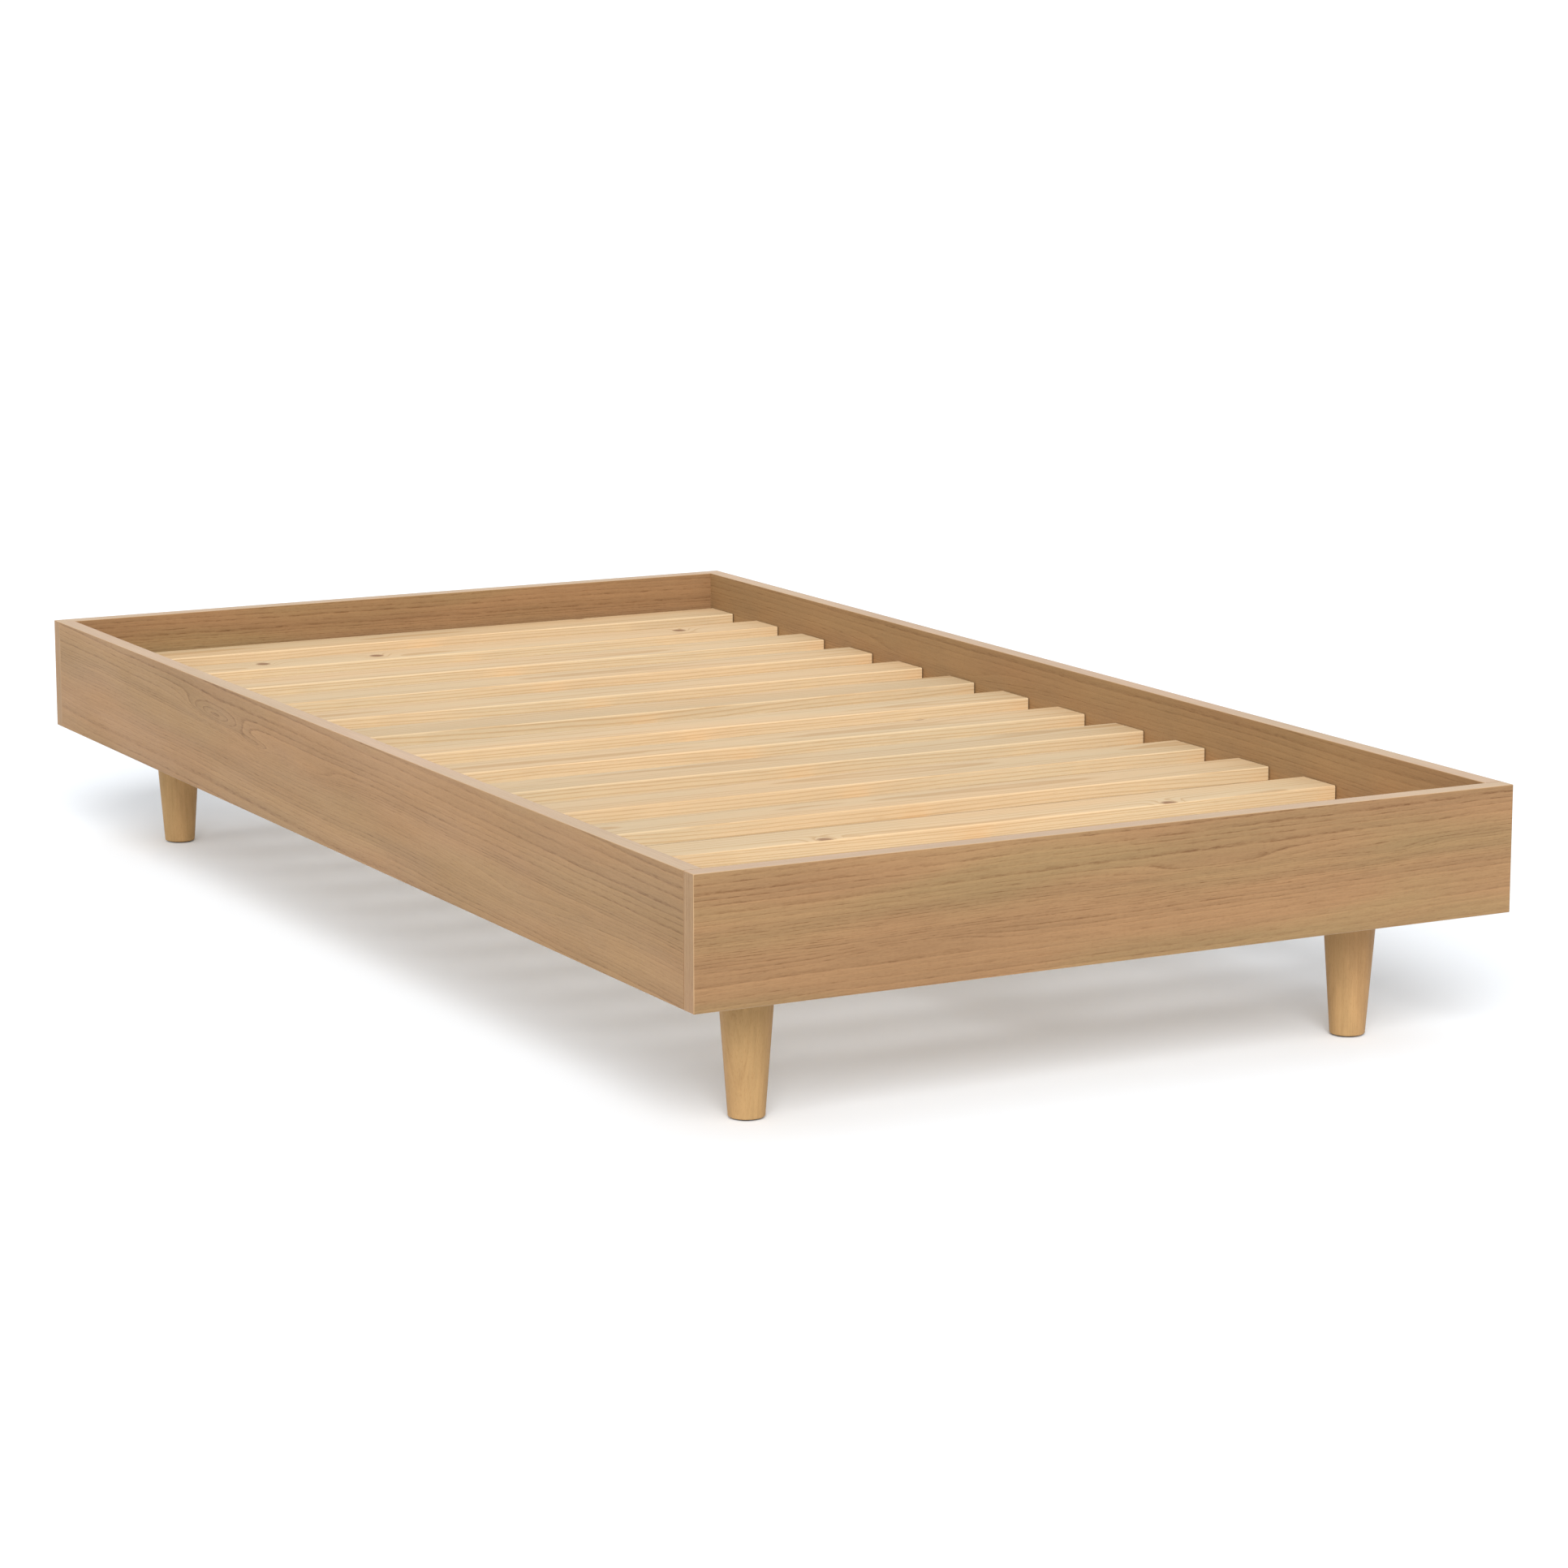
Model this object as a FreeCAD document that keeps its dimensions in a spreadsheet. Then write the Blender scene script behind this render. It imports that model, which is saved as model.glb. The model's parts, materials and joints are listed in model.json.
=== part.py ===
"""Low platform bed frame: four veneered boards on four tapered round legs.

Frame of the part: the origin is on the floor under the middle of the bed, +X runs across the bed,
+Y runs from the foot end to the head end, and +Z is up. Lengths are in millimetres.

The end panels cover the ends of the side rails. Inside each corner a wooden block is screwed to the
end panel, and two cap screws through it hold the side rail. Battens inside the boards carry the slats,
a lengthwise beam halves their span, and a middle leg with a levelling foot stands under the beam.
"""

import FreeCAD, Part
import math
import os
import Sketcher

os.makedirs("parts", exist_ok=True)

V = FreeCAD.Vector
UP = V(0, 0, 1)
doc = FreeCAD.newDocument("BedFrame")

# The driving dimensions: alias, value, and what it is.
SIZES = [
    ("frame_length", 1980, "outside length over both end panels"),
    ("frame_width", 1056, "outside width over both side rails"),
    ("rail_top", 307, "height of the boards' top edge above the floor"),
    ("rail_height", 150, "height of the boards"),
    ("board_thick", 23, "thickness of a veneered board"),
    ("board_round", 1.2, "radius of the boards' arrises"),
    ("leg_inset", 131, "leg axis to both outside faces of the corner"),
    ("leg_foot_dia", 41, "leg diameter at the floor"),
    ("leg_flare", 0.15, "growth of the leg's diameter per unit of height"),
    ("leg_foot_round", 1.8, "radius of the leg's bottom edge"),
    ("leg_head_round", 1, "radius of the leg's top edge"),
    ("glide_thick", 1.5, "glide plate under the leg"),
    ("glide_dia", 32, "diameter of the glide plate"),
    ("glide_round", 0.5, "radius of the glide's bottom edge"),
    ("glide_pin_dia", 3, "pin of the glide"),
    ("glide_pin_long", 12, "length of the glide's pin"),
    ("slat_top", 255, "height of the slats' upper face above the floor"),
    ("slat_thick", 18, "thickness of a slat"),
    ("slat_wide", 68, "width of a slat"),
    ("slat_count", 14, "number of slats"),
    ("slat_gap_side", 2, "play between a slat's end and the rail"),
    ("slat_gap_end", 8, "play between the end slat and the end panel"),
    ("slat_round", 2, "radius of a slat's long arrises"),
    ("ledger_thick", 30, "thickness of the battens"),
    ("ledger_height", 50, "height of the battens, blocks and beam"),
    ("ledger_round", 1.5, "radius of the battens' long arrises"),
    ("block_side", 40, "side of a corner block"),
    ("driver_room", 50, "free length beside a block for the key"),
    ("leg_board_side", 175, "side of the square corner board"),
    ("leg_board_thick", 25, "thickness of the corner board"),
    ("leg_board_cut", 38, "chamfer of the corner board's inner corner"),
    ("board_screw_near", 105, "corner of the box to the corner board's nearer screws"),
    ("board_screw_far", 155, "corner of the box to the corner board's further screws"),
    ("wood_round", 0.8, "radius of the arrises of blocks and corner boards"),
    ("plate_side", 90, "side of the leg plate"),
    ("plate_thick", 2.5, "thickness of the leg plate"),
    ("plate_corner", 8, "corner radius of the leg plate"),
    ("plate_screw_step", 35, "leg axis to the plate's screws, both ways"),
    ("collar_dia", 12, "threaded collar of the leg plate"),
    ("collar_long", 8, "height of the collar"),
    ("beam_wide", 40, "width of the centre beam"),
    ("beam_gap", 0.5, "play between the beam's end and the batten"),
    ("hanger_gauge", 2, "sheet gauge of a beam hanger"),
    ("hanger_reach", 40, "length of a hanger's cheeks"),
    ("hanger_tall", 40, "height of a hanger"),
    ("hanger_flange", 20, "width of a hanger's flanges"),
    ("post_side", 42, "side of the middle leg"),
    ("post_floor_gap", 22, "middle leg's bottom above the floor"),
    ("post_round", 3, "radius of the middle leg's long arrises"),
    ("hanger_bolt_dia", 7.9, "hanger bolt and levelling stem"),
    ("hanger_bolt_wood", 35, "wood thread of the hanger bolt"),
    ("hanger_bolt_metal", 20, "metric thread of the hanger bolt"),
    ("sleeve_dia", 11, "outer diameter of the large threaded sleeve"),
    ("sleeve_long", 20, "length of the large threaded sleeve"),
    ("pad_dia", 40, "diameter of the levelling pad"),
    ("pad_tall", 9.5, "height of the levelling pad"),
    ("pad_floor", 4, "thickness of the pad under the stem"),
    ("pad_round", 4, "radius of the pad's upper edge"),
    ("stem_long", 46, "length of the levelling stem"),
    ("stem_hex", 13, "hexagon of the stem across its flats"),
    ("stem_hex_tall", 5, "height of the stem's hexagon"),
    ("stem_hex_at", 6, "stem's lower end to its hexagon"),
    ("stem_room", 18, "free bore above the sleeve for the stem"),
    ("screw_dia", 4, "shank of both kinds of wood screw"),
    ("screw_head_dia", 7.8, "head of both kinds of wood screw"),
    ("screw_long", 45, "length of the long wood screw"),
    ("screw_short", 16, "length of the short wood screw under its head"),
    ("short_head_tall", 2, "height of the short screw's head"),
    ("screw_tip", 4, "length of a screw's point"),
    ("screw_drive", 3, "hexagonal recess of a screw across its flats"),
    ("block_screw_sink", 12, "depth of the counterbore for a block's screws"),
    ("bolt_dia", 5.9, "shank of the corner cap screw"),
    ("bolt_long", 43, "length of the corner cap screw under its head"),
    ("bolt_head_dia", 10, "head of the corner cap screw"),
    ("bolt_head_tall", 6, "height of the cap screw's head"),
    ("bolt_drive", 5, "hexagon socket of the cap screw across its flats"),
    ("bolt_head_bore", 11, "counterbore for the cap screw's head"),
    ("bolt_head_sink", 8, "depth of that counterbore"),
    ("insert_dia", 9, "outer diameter of the rail's threaded insert"),
    ("insert_long", 13, "length of the rail's threaded insert"),
    ("dowel_dia", 8, "diameter of a rail dowel"),
    ("dowel_long", 38, "length of a rail dowel"),
    ("dowel_in_panel", 12, "part of the dowel that is in the end panel"),
    ("dowel_edge", 27, "dowel axis to the board's top or bottom edge"),
    ("dowel_lead", 1, "chamfer of a dowel's ends"),
    ("strap_wide", 25, "width of the slat webbing"),
    ("strap_thick", 1, "thickness of the slat webbing"),
    ("strap_at", 320, "webbing's middle line to the bed's middle plane"),
    ("strap_gap_end", 3, "webbing's end to the end batten"),
    ("staple_wide", 12, "width of a staple's crown"),
    ("staple_wire", 1, "diameter of a staple's wire"),
    ("staple_deep", 8, "length of a staple's legs under its crown"),
    ("slack", 0.1, "play on the diameter of a bore around its pin or screw"),
]

sizes = doc.addObject("Spreadsheet::Sheet", "Sizes")
for row, (alias, number, meaning) in enumerate(SIZES, start=1):
    sizes.set(f"A{row}", meaning)
    sizes.set(f"B{row}", str(number))
    sizes.setAlias(f"B{row}", alias)
doc.recompute()

# Heights and distances that many pieces share, as expressions over the sheet.
INNER_X = "(Sizes.frame_width / 2 - Sizes.board_thick)"
INNER_Y = "(Sizes.frame_length / 2 - Sizes.board_thick)"
RAIL_BOTTOM = "(Sizes.rail_top - Sizes.rail_height)"
LEDGER_TOP = "(Sizes.slat_top - Sizes.slat_thick)"
LEDGER_BOTTOM = f"({LEDGER_TOP} - Sizes.ledger_height)"
LEG_BOARD_BOTTOM = f"({LEDGER_BOTTOM} - Sizes.leg_board_thick)"
LEG_TOP = f"({LEG_BOARD_BOTTOM} - Sizes.plate_thick)"
LEG_X = "(Sizes.frame_width / 2 - Sizes.leg_inset)"
LEG_Y = "(Sizes.frame_length / 2 - Sizes.leg_inset)"
LEG_FROM_CORNER = "(Sizes.leg_inset - Sizes.board_thick)"
SLAT_STEP = f"((2 * {INNER_Y} - 2 * Sizes.slat_gap_end - Sizes.slat_wide) / (Sizes.slat_count - 1))"
SIDE_LEDGER_LONG = f"(2 * ({INNER_Y} - Sizes.block_side))"
END_LEDGER_LONG = f"(2 * ({INNER_X} - Sizes.block_side - Sizes.driver_room))"
SCREW_BORE = "(Sizes.screw_dia + Sizes.slack)"
BOLT_BORE = "(Sizes.bolt_dia + Sizes.slack)"
HANGER_BOLT_BORE = "(Sizes.hanger_bolt_dia + Sizes.slack)"
BLOCK_HALF = "(Sizes.block_side / 2)"
SCREW_LINE = f"({LEDGER_BOTTOM} + Sizes.ledger_height / 2 - {RAIL_BOTTOM})"

# Heights in a corner block, as shares of its height: cap screws and panel screws alternate.
BOLT_SHARES = (0.18, 0.66)
BLOCK_SCREW_SHARES = (0.42, 0.88)
# Places of the batten screws, as shares of the batten's half length.
SIDE_SCREW_SHARES = (0.1, 0.36, 0.64, 0.92)
END_SCREW_SHARES = (0.24, 0.85)
# Corner board screws: distances from the corner of the box along the batten.
BOARD_SCREW_PLACES = ("Sizes.board_screw_near", "Sizes.board_screw_far")
# Screws of a beam hanger, as shares of its height.
HANGER_SCREW_SHARES = (0.25, 0.75)
# Corners: name, side across (+1 right), side along (+1 head), turn of a part drawn for the left foot corner.
CORNERS = [
    ("foot_left", -1, -1, 0),
    ("foot_right", 1, -1, 90),
    ("head_right", 1, 1, 180),
    ("head_left", -1, 1, 270),
]

nodes = []


def value(expression):
    """The number that an expression over the sheet has now."""
    return float(sizes.evalExpression(expression))


def new_body(name, is_node=True):
    body = doc.addObject("PartDesign::Body", name)
    body.Label = name
    if is_node:
        nodes.append(body)
    return body


def origin_plane(body, role):
    return next(item for item in body.Origin.OriginFeatures if item.Role == role)


def new_sketch(body, name, role, offset=None):
    """A sketch on one of the body's own origin planes, moved by expressions along its own axes."""
    sketch = body.newObject("Sketcher::SketchObject", name)
    sketch.AttachmentSupport = [(origin_plane(body, role), "")]
    sketch.MapMode = "FlatFace"
    for axis, expression in (offset or {}).items():
        sketch.setExpression(f"AttachmentOffset.Base.{axis}", expression)
    return sketch


def bind(sketch, constraint, name, expression):
    index = sketch.addConstraint(constraint)
    sketch.renameConstraint(index, name)
    sketch.setExpression(f"Constraints.{name}", expression)


def place_point(sketch, geometry, vertex, name, x, y):
    """Ties a point to the sketch's origin by two signed distances."""
    for axis, kind, expression in (("x", "DistanceX", x), ("y", "DistanceY", y)):
        distance = value(expression)
        if abs(distance) < 1e-6:
            line = -2 if axis == "x" else -1
            sketch.addConstraint(Sketcher.Constraint("PointOnObject", geometry, vertex, line))
        elif distance > 0:
            tie = Sketcher.Constraint(kind, -1, 1, geometry, vertex, distance)
            bind(sketch, tie, f"{name}_{axis}", expression)
        else:
            tie = Sketcher.Constraint(kind, geometry, vertex, -1, 1, -distance)
            bind(sketch, tie, f"{name}_{axis}", f"-1 * ({expression})")


def closed_lines(sketch, corners):
    """Lines round the corners, joined end to end. Returns the first line's index."""
    first = None
    for start, end in zip(corners, corners[1:] + corners[:1]):
        index = sketch.addGeometry(Part.LineSegment(start, end))
        first = index if first is None else first
    count = len(corners)
    for step in range(count):
        after = first + (step + 1) % count
        sketch.addConstraint(Sketcher.Constraint("Coincident", first + step, 2, after, 1))
    return first


def rectangle(sketch, left, bottom, width, height, name="box"):
    """An upright rectangle whose lower left corner and sides are expressions."""
    x0, y0 = value(left), value(bottom)
    x1, y1 = x0 + value(width), y0 + value(height)
    first = closed_lines(sketch, [V(x0, y0, 0), V(x1, y0, 0), V(x1, y1, 0), V(x0, y1, 0)])
    for step, kind in enumerate(("Horizontal", "Vertical", "Horizontal", "Vertical")):
        sketch.addConstraint(Sketcher.Constraint(kind, first + step))
    place_point(sketch, first, 1, name, left, bottom)
    across = Sketcher.Constraint("DistanceX", first, 1, first, 2, x1 - x0)
    bind(sketch, across, f"{name}_width", width)
    upward = Sketcher.Constraint("DistanceY", first + 1, 1, first + 1, 2, y1 - y0)
    bind(sketch, upward, f"{name}_height", height)


def hexagon(sketch, across_flats):
    """A hexagon round the sketch's origin."""
    radius = value(across_flats) / math.sqrt(3)
    corners = [V(radius, 0, 0)]
    for step in range(1, 6):
        turn = math.radians(60 * step)
        corners.append(V(radius * math.cos(turn), radius * math.sin(turn), 0))
    first = closed_lines(sketch, corners)
    round_it = sketch.addGeometry(Part.Circle(V(0, 0, 0), UP, radius), True)
    sketch.addConstraint(Sketcher.Constraint("Coincident", round_it, 3, -1, 1))
    bind(sketch, Sketcher.Constraint("Radius", round_it, radius), "corner", f"({across_flats}) / sqrt(3)")
    for step in range(6):
        sketch.addConstraint(Sketcher.Constraint("PointOnObject", first + step, 1, round_it))
    for step in range(1, 6):
        sketch.addConstraint(Sketcher.Constraint("Equal", first, first + step))
    sketch.addConstraint(Sketcher.Constraint("PointOnObject", first, 1, -1))


def circles(sketch, diameter, places):
    """Equal circles whose centres are pairs of expressions. The first one carries the diameter."""
    radius = value(diameter) / 2
    first = None
    for number, (x, y) in enumerate(places, start=1):
        index = sketch.addGeometry(Part.Circle(V(value(x), value(y), 0), UP, radius))
        if first is None:
            first = index
            bind(sketch, Sketcher.Constraint("Diameter", index, 2 * radius), "diameter", diameter)
        else:
            sketch.addConstraint(Sketcher.Constraint("Equal", first, index))
        if abs(value(x)) < 1e-6 and abs(value(y)) < 1e-6:
            sketch.addConstraint(Sketcher.Constraint("Coincident", index, 3, -1, 1))
        else:
            place_point(sketch, index, 3, f"centre_{number}", x, y)


def pad(body, sketch, length, name="Pad"):
    feature = body.newObject("PartDesign::Pad", name)
    feature.Profile = sketch
    feature.setExpression("Length", length)
    sketch.Visibility = False
    doc.recompute()
    return feature


def pocket(body, sketch, depth, name, flipped=False):
    """Cuts the sketch into the body and makes sure that it took something away."""
    before = body.Tip.Shape.Volume
    feature = body.newObject("PartDesign::Pocket", name)
    feature.Profile = sketch
    feature.setExpression("Length", depth)
    feature.Reversed = flipped
    doc.recompute()
    if not feature.Shape.Volume < before - 0.01:
        raise RuntimeError(f"{body.Label}: {name} cuts nothing")
    return feature


def mirror(body, features, role="YZ_Plane", name="Mirrored"):
    """Repeats cuts on the other side of one of the body's origin planes."""
    feature = body.newObject("PartDesign::Mirrored", name)
    feature.Originals = features
    feature.MirrorPlane = (origin_plane(body, role), [""])
    body.Tip = feature
    doc.recompute()
    return feature


def edges_along(shape, axis):
    """Names of the straight edges that run along a row axis."""
    names = []
    for number, edge in enumerate(shape.Edges, start=1):
        if edge.Curve.TypeId != "Part::GeomLine":
            continue
        if abs(abs(edge.tangentAt(edge.FirstParameter).dot(axis)) - 1) < 1e-6:
            names.append(f"Edge{number}")
    return names


def closed_rims(shape, height):
    """Names of the closed round edges at a height."""
    names = []
    for number, edge in enumerate(shape.Edges, start=1):
        if edge.isClosed() and abs(edge.CenterOfMass.z - height) < 1e-3:
            names.append(f"Edge{number}")
    return names


def all_edges(shape):
    return [f"Edge{number}" for number in range(1, len(shape.Edges) + 1)]


def round_edges(body, names, radius, name="Arrises"):
    base = body.Tip
    feature = body.newObject("PartDesign::Fillet", name)
    feature.Base = (base, names)
    feature.setExpression("Radius", radius)
    body.Tip = feature
    doc.recompute()
    return feature


def put(item, x="0 mm", y="0 mm", z="0 mm", turn=0, axis=UP):
    """Turns an object about an axis and moves it to a place given by expressions."""
    item.Placement = FreeCAD.Placement(V(0, 0, 0), FreeCAD.Rotation(axis, turn))
    for key, expression in (("x", x), ("y", y), ("z", z)):
        item.setExpression(f".Placement.Base.{key}", expression)


def signed(side, expression):
    return expression if side > 0 else f"-1 * {expression}"


def turned(body, points, name="Turned", role="XZ_Plane"):
    """A solid of revolution about Z. Each point is a pair of expressions: radius and height."""
    sketch = new_sketch(body, f"{name}Profile", role)
    corners = [V(value(radius), value(height), 0) for radius, height in points]
    first = closed_lines(sketch, corners)
    for step, (radius, height) in enumerate(points):
        place_point(sketch, first + step, 1, f"point_{step + 1}", radius, height)
    feature = body.newObject("PartDesign::Revolution", name)
    feature.Profile = sketch
    feature.ReferenceAxis = (sketch, ["V_Axis"])
    doc.recompute()
    return feature


def group(name, source, places):
    """One node of several equal solids. Each place is x, y, z as expressions, a turn axis and a turn."""
    members = []
    for number, (x, y, z, axis, turn) in enumerate(places, start=1):
        member = doc.addObject("App::Link", f"{name}_{number:02d}")
        member.LinkedObject = source
        put(member, x, y, z, turn, axis)
        members.append(member)
    whole = doc.addObject("Part::Compound", name)
    whole.Label = name
    whole.Links = members
    nodes.append(whole)
    return whole


# ---------------------------------------------------------------------------- boards of the box


def block_height(share):
    """Height of a fixing in the corner block, above the boards' bottom edge."""
    return f"({LEDGER_BOTTOM} - {RAIL_BOTTOM} + {share} * Sizes.ledger_height)"


def dowel_heights():
    return ("Sizes.dowel_edge", "(Sizes.rail_height - Sizes.dowel_edge)")


def end_panel(name, along):
    """Board across the bed. Its own X runs across, Y from the inner to the outer face, Z up."""
    body = new_body(name)
    outline = new_sketch(body, "Outline", "XY_Plane")
    rectangle(outline, "-1 * Sizes.frame_width / 2", "0 mm", "Sizes.frame_width", "Sizes.board_thick")
    pad(body, outline, "Sizes.rail_height")
    round_edges(body, all_edges(body.Shape), "Sizes.board_round")

    dowels = new_sketch(body, "DowelHoles", "XZ_Plane")
    dowel_x = f"({INNER_X} + Sizes.board_thick / 2)"
    circles(dowels, "Sizes.dowel_dia + Sizes.slack", [(dowel_x, height) for height in dowel_heights()])
    dowel_cut = pocket(body, dowels, "Sizes.dowel_in_panel + Sizes.slack", "DowelBores")

    blocks = new_sketch(body, "BlockScrewHoles", "XZ_Plane")
    block_x = f"({INNER_X} - {BLOCK_HALF})"
    circles(blocks, SCREW_BORE, [(block_x, block_height(share)) for share in BLOCK_SCREW_SHARES])
    block_depth = "Sizes.screw_long - (Sizes.block_side - Sizes.block_screw_sink) + Sizes.slack"
    block_cut = pocket(body, blocks, block_depth, "BlockScrewBores")

    ledger = new_sketch(body, "LedgerScrewHoles", "XZ_Plane")
    places = [(f"{share} * {END_LEDGER_LONG} / 2", SCREW_LINE) for share in END_SCREW_SHARES]
    circles(ledger, SCREW_BORE, places)
    ledger_cut = pocket(body, ledger, "Sizes.screw_long - Sizes.ledger_thick + Sizes.slack", "LedgerScrewBores")
    mirror(body, [dowel_cut, block_cut, ledger_cut])
    put(body, y=signed(along, INNER_Y), z=RAIL_BOTTOM, turn=0 if along > 0 else 180)


def side_rail(name, across):
    """Board along the bed, between the end panels. Its own X runs along, Y outward, Z up."""
    body = new_body(name)
    outline = new_sketch(body, "Outline", "XY_Plane")
    rectangle(outline, f"-1 * {INNER_Y}", "0 mm", f"2 * {INNER_Y}", "Sizes.board_thick")
    pad(body, outline, "Sizes.rail_height")
    round_edges(body, edges_along(body.Shape, V(1, 0, 0)), "Sizes.board_round")

    dowels = new_sketch(body, "DowelHoles", "YZ_Plane", {"z": INNER_Y})
    half = "Sizes.board_thick / 2"
    circles(dowels, "Sizes.dowel_dia + Sizes.slack", [(half, height) for height in dowel_heights()])
    dowel_depth = "Sizes.dowel_long - Sizes.dowel_in_panel + Sizes.slack"
    dowel_cut = pocket(body, dowels, dowel_depth, "DowelBores")

    inserts = new_sketch(body, "InsertHoles", "XZ_Plane")
    insert_x = f"({INNER_Y} - {BLOCK_HALF})"
    circles(inserts, "Sizes.insert_dia + Sizes.slack", [(insert_x, block_height(s)) for s in BOLT_SHARES])
    insert_cut = pocket(body, inserts, "Sizes.insert_long + Sizes.slack", "InsertBores")

    ledger = new_sketch(body, "LedgerScrewHoles", "XZ_Plane")
    places = [(f"{share} * {SIDE_LEDGER_LONG} / 2", SCREW_LINE) for share in SIDE_SCREW_SHARES]
    circles(ledger, SCREW_BORE, places)
    ledger_cut = pocket(body, ledger, "Sizes.screw_long - Sizes.ledger_thick + Sizes.slack", "LedgerScrewBores")
    mirror(body, [dowel_cut, insert_cut, ledger_cut])
    put(body, x=signed(across, INNER_X), z=RAIL_BOTTOM, turn=-90 * across)


# ---------------------------------------------------------------------------- battens and corners


def countersunk_holes(body, name, places, role, offset=None, flipped=False):
    """Through holes for the long screws, with room for their conical heads."""
    sketch = new_sketch(body, f"{name}Centres", role, offset)
    circles(sketch, SCREW_BORE, places)
    hole = body.newObject("PartDesign::Hole", name)
    hole.Profile = sketch
    doc.recompute()
    hole.DepthType = "ThroughAll"
    hole.Reversed = flipped
    hole.setExpression("Diameter", SCREW_BORE)
    hole.HoleCutType = "Countersink"
    hole.HoleCutCustomValues = True
    hole.setExpression("HoleCutDiameter", "Sizes.screw_head_dia + 2 * Sizes.slack")
    hole.HoleCutCountersinkAngle = 90
    doc.recompute()
    return hole


def ledger_bar(name, length, shares, board_screw_from_end):
    """Batten whose own X runs along it, Y from its inner face to the board, Z up."""
    body = new_body(name)
    outline = new_sketch(body, "Outline", "XY_Plane")
    rectangle(outline, f"-1 * {length} / 2", "0 mm", length, "Sizes.ledger_thick")
    pad(body, outline, "Sizes.ledger_height")
    round_edges(body, edges_along(body.Shape, V(1, 0, 0)), "Sizes.ledger_round")
    before = body.Shape.Volume
    places = [(f"{share} * {length} / 2", "Sizes.ledger_height / 2") for share in shares]
    screws = countersunk_holes(body, "LedgerScrewBores", places, "XZ_Plane")
    if not body.Shape.Volume < before:
        raise RuntimeError(f"{name}: the screw holes cut nothing")

    boards = new_sketch(body, "BoardScrewHoles", "XY_Plane")
    along = [(f"{length} / 2 - ({distance})", "Sizes.ledger_thick / 2") for distance in board_screw_from_end]
    circles(boards, SCREW_BORE, along)
    board_depth = "Sizes.screw_long - Sizes.leg_board_thick + Sizes.slack"
    board_cut = pocket(body, boards, board_depth, "BoardScrewBores", flipped=True)
    mirror(body, [screws, board_cut])
    return body


def side_ledger(name, across):
    from_end = [f"{place} - Sizes.block_side" for place in BOARD_SCREW_PLACES]
    body = ledger_bar(name, SIDE_LEDGER_LONG, SIDE_SCREW_SHARES, from_end)
    inner_face = f"({INNER_X} - Sizes.ledger_thick)"
    put(body, x=signed(across, inner_face), z=LEDGER_BOTTOM, turn=-90 * across)


def hanger_screw_places():
    """Right-hand screws of a beam hanger: distance from its middle, height above the battens' underside."""
    side = "(Sizes.beam_wide / 2 + Sizes.hanger_gauge + Sizes.hanger_flange / 2)"
    return [(side, f"({share} * Sizes.hanger_tall - Sizes.hanger_gauge)") for share in HANGER_SCREW_SHARES]


def end_ledger(name, along):
    from_end = [f"{place} - Sizes.block_side - Sizes.driver_room" for place in BOARD_SCREW_PLACES]
    body = ledger_bar(name, END_LEDGER_LONG, END_SCREW_SHARES, from_end)
    hanger = new_sketch(body, "HangerScrewHoles", "XZ_Plane")
    circles(hanger, SCREW_BORE, hanger_screw_places())
    depth = "Sizes.screw_short - Sizes.hanger_gauge + Sizes.slack"
    cut = pocket(body, hanger, depth, "HangerScrewBores")
    mirror(body, [cut], name="HangerScrewBoresMirrored")
    inner_face = f"({INNER_Y} - Sizes.ledger_thick)"
    put(body, y=signed(along, inner_face), z=LEDGER_BOTTOM, turn=0 if along > 0 else 180)


def corner_block(name, across, along):
    """Square block in the corner. The cap screws enter it along X, the panel screws along Y."""
    body = new_body(name)
    outline = new_sketch(body, "Outline", "XY_Plane")
    rectangle(outline, f"-1 * {BLOCK_HALF}", f"-1 * {BLOCK_HALF}", "Sizes.block_side", "Sizes.block_side")
    pad(body, outline, "Sizes.ledger_height")
    round_edges(body, all_edges(body.Shape), "Sizes.wood_round")
    bolts = [("0 mm", f"{share} * Sizes.ledger_height") for share in BOLT_SHARES]
    screws = [("0 mm", f"{share} * Sizes.ledger_height") for share in BLOCK_SCREW_SHARES]
    head_bore = "Sizes.screw_head_dia + 2 * Sizes.slack"
    head_sink = "Sizes.block_screw_sink + (Sizes.screw_head_dia - Sizes.screw_dia) / 2 + Sizes.slack"
    # The YZ plane's normal points along +X, and the XZ plane's along -Y.
    cuts = [
        ("BoltShanks", "YZ_Plane", -across, bolts, BOLT_BORE, "Sizes.block_side"),
        ("BoltHeads", "YZ_Plane", -across, bolts, "Sizes.bolt_head_bore", "Sizes.bolt_head_sink"),
        ("ScrewShanks", "XZ_Plane", along, screws, SCREW_BORE, "Sizes.block_side"),
        ("ScrewHeads", "XZ_Plane", along, screws, head_bore, head_sink),
    ]
    for cut_name, role, normal_side, places, diameter, depth in cuts:
        sketch = new_sketch(body, f"{cut_name}Centres", role, {"z": signed(normal_side, BLOCK_HALF)})
        circles(sketch, diameter, places)
        pocket(body, sketch, depth, cut_name, flipped=normal_side < 0)
    x = signed(across, f"({INNER_X} - {BLOCK_HALF})")
    y = signed(along, f"({INNER_Y} - {BLOCK_HALF})")
    put(body, x=x, y=y, z=LEDGER_BOTTOM)


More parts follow.
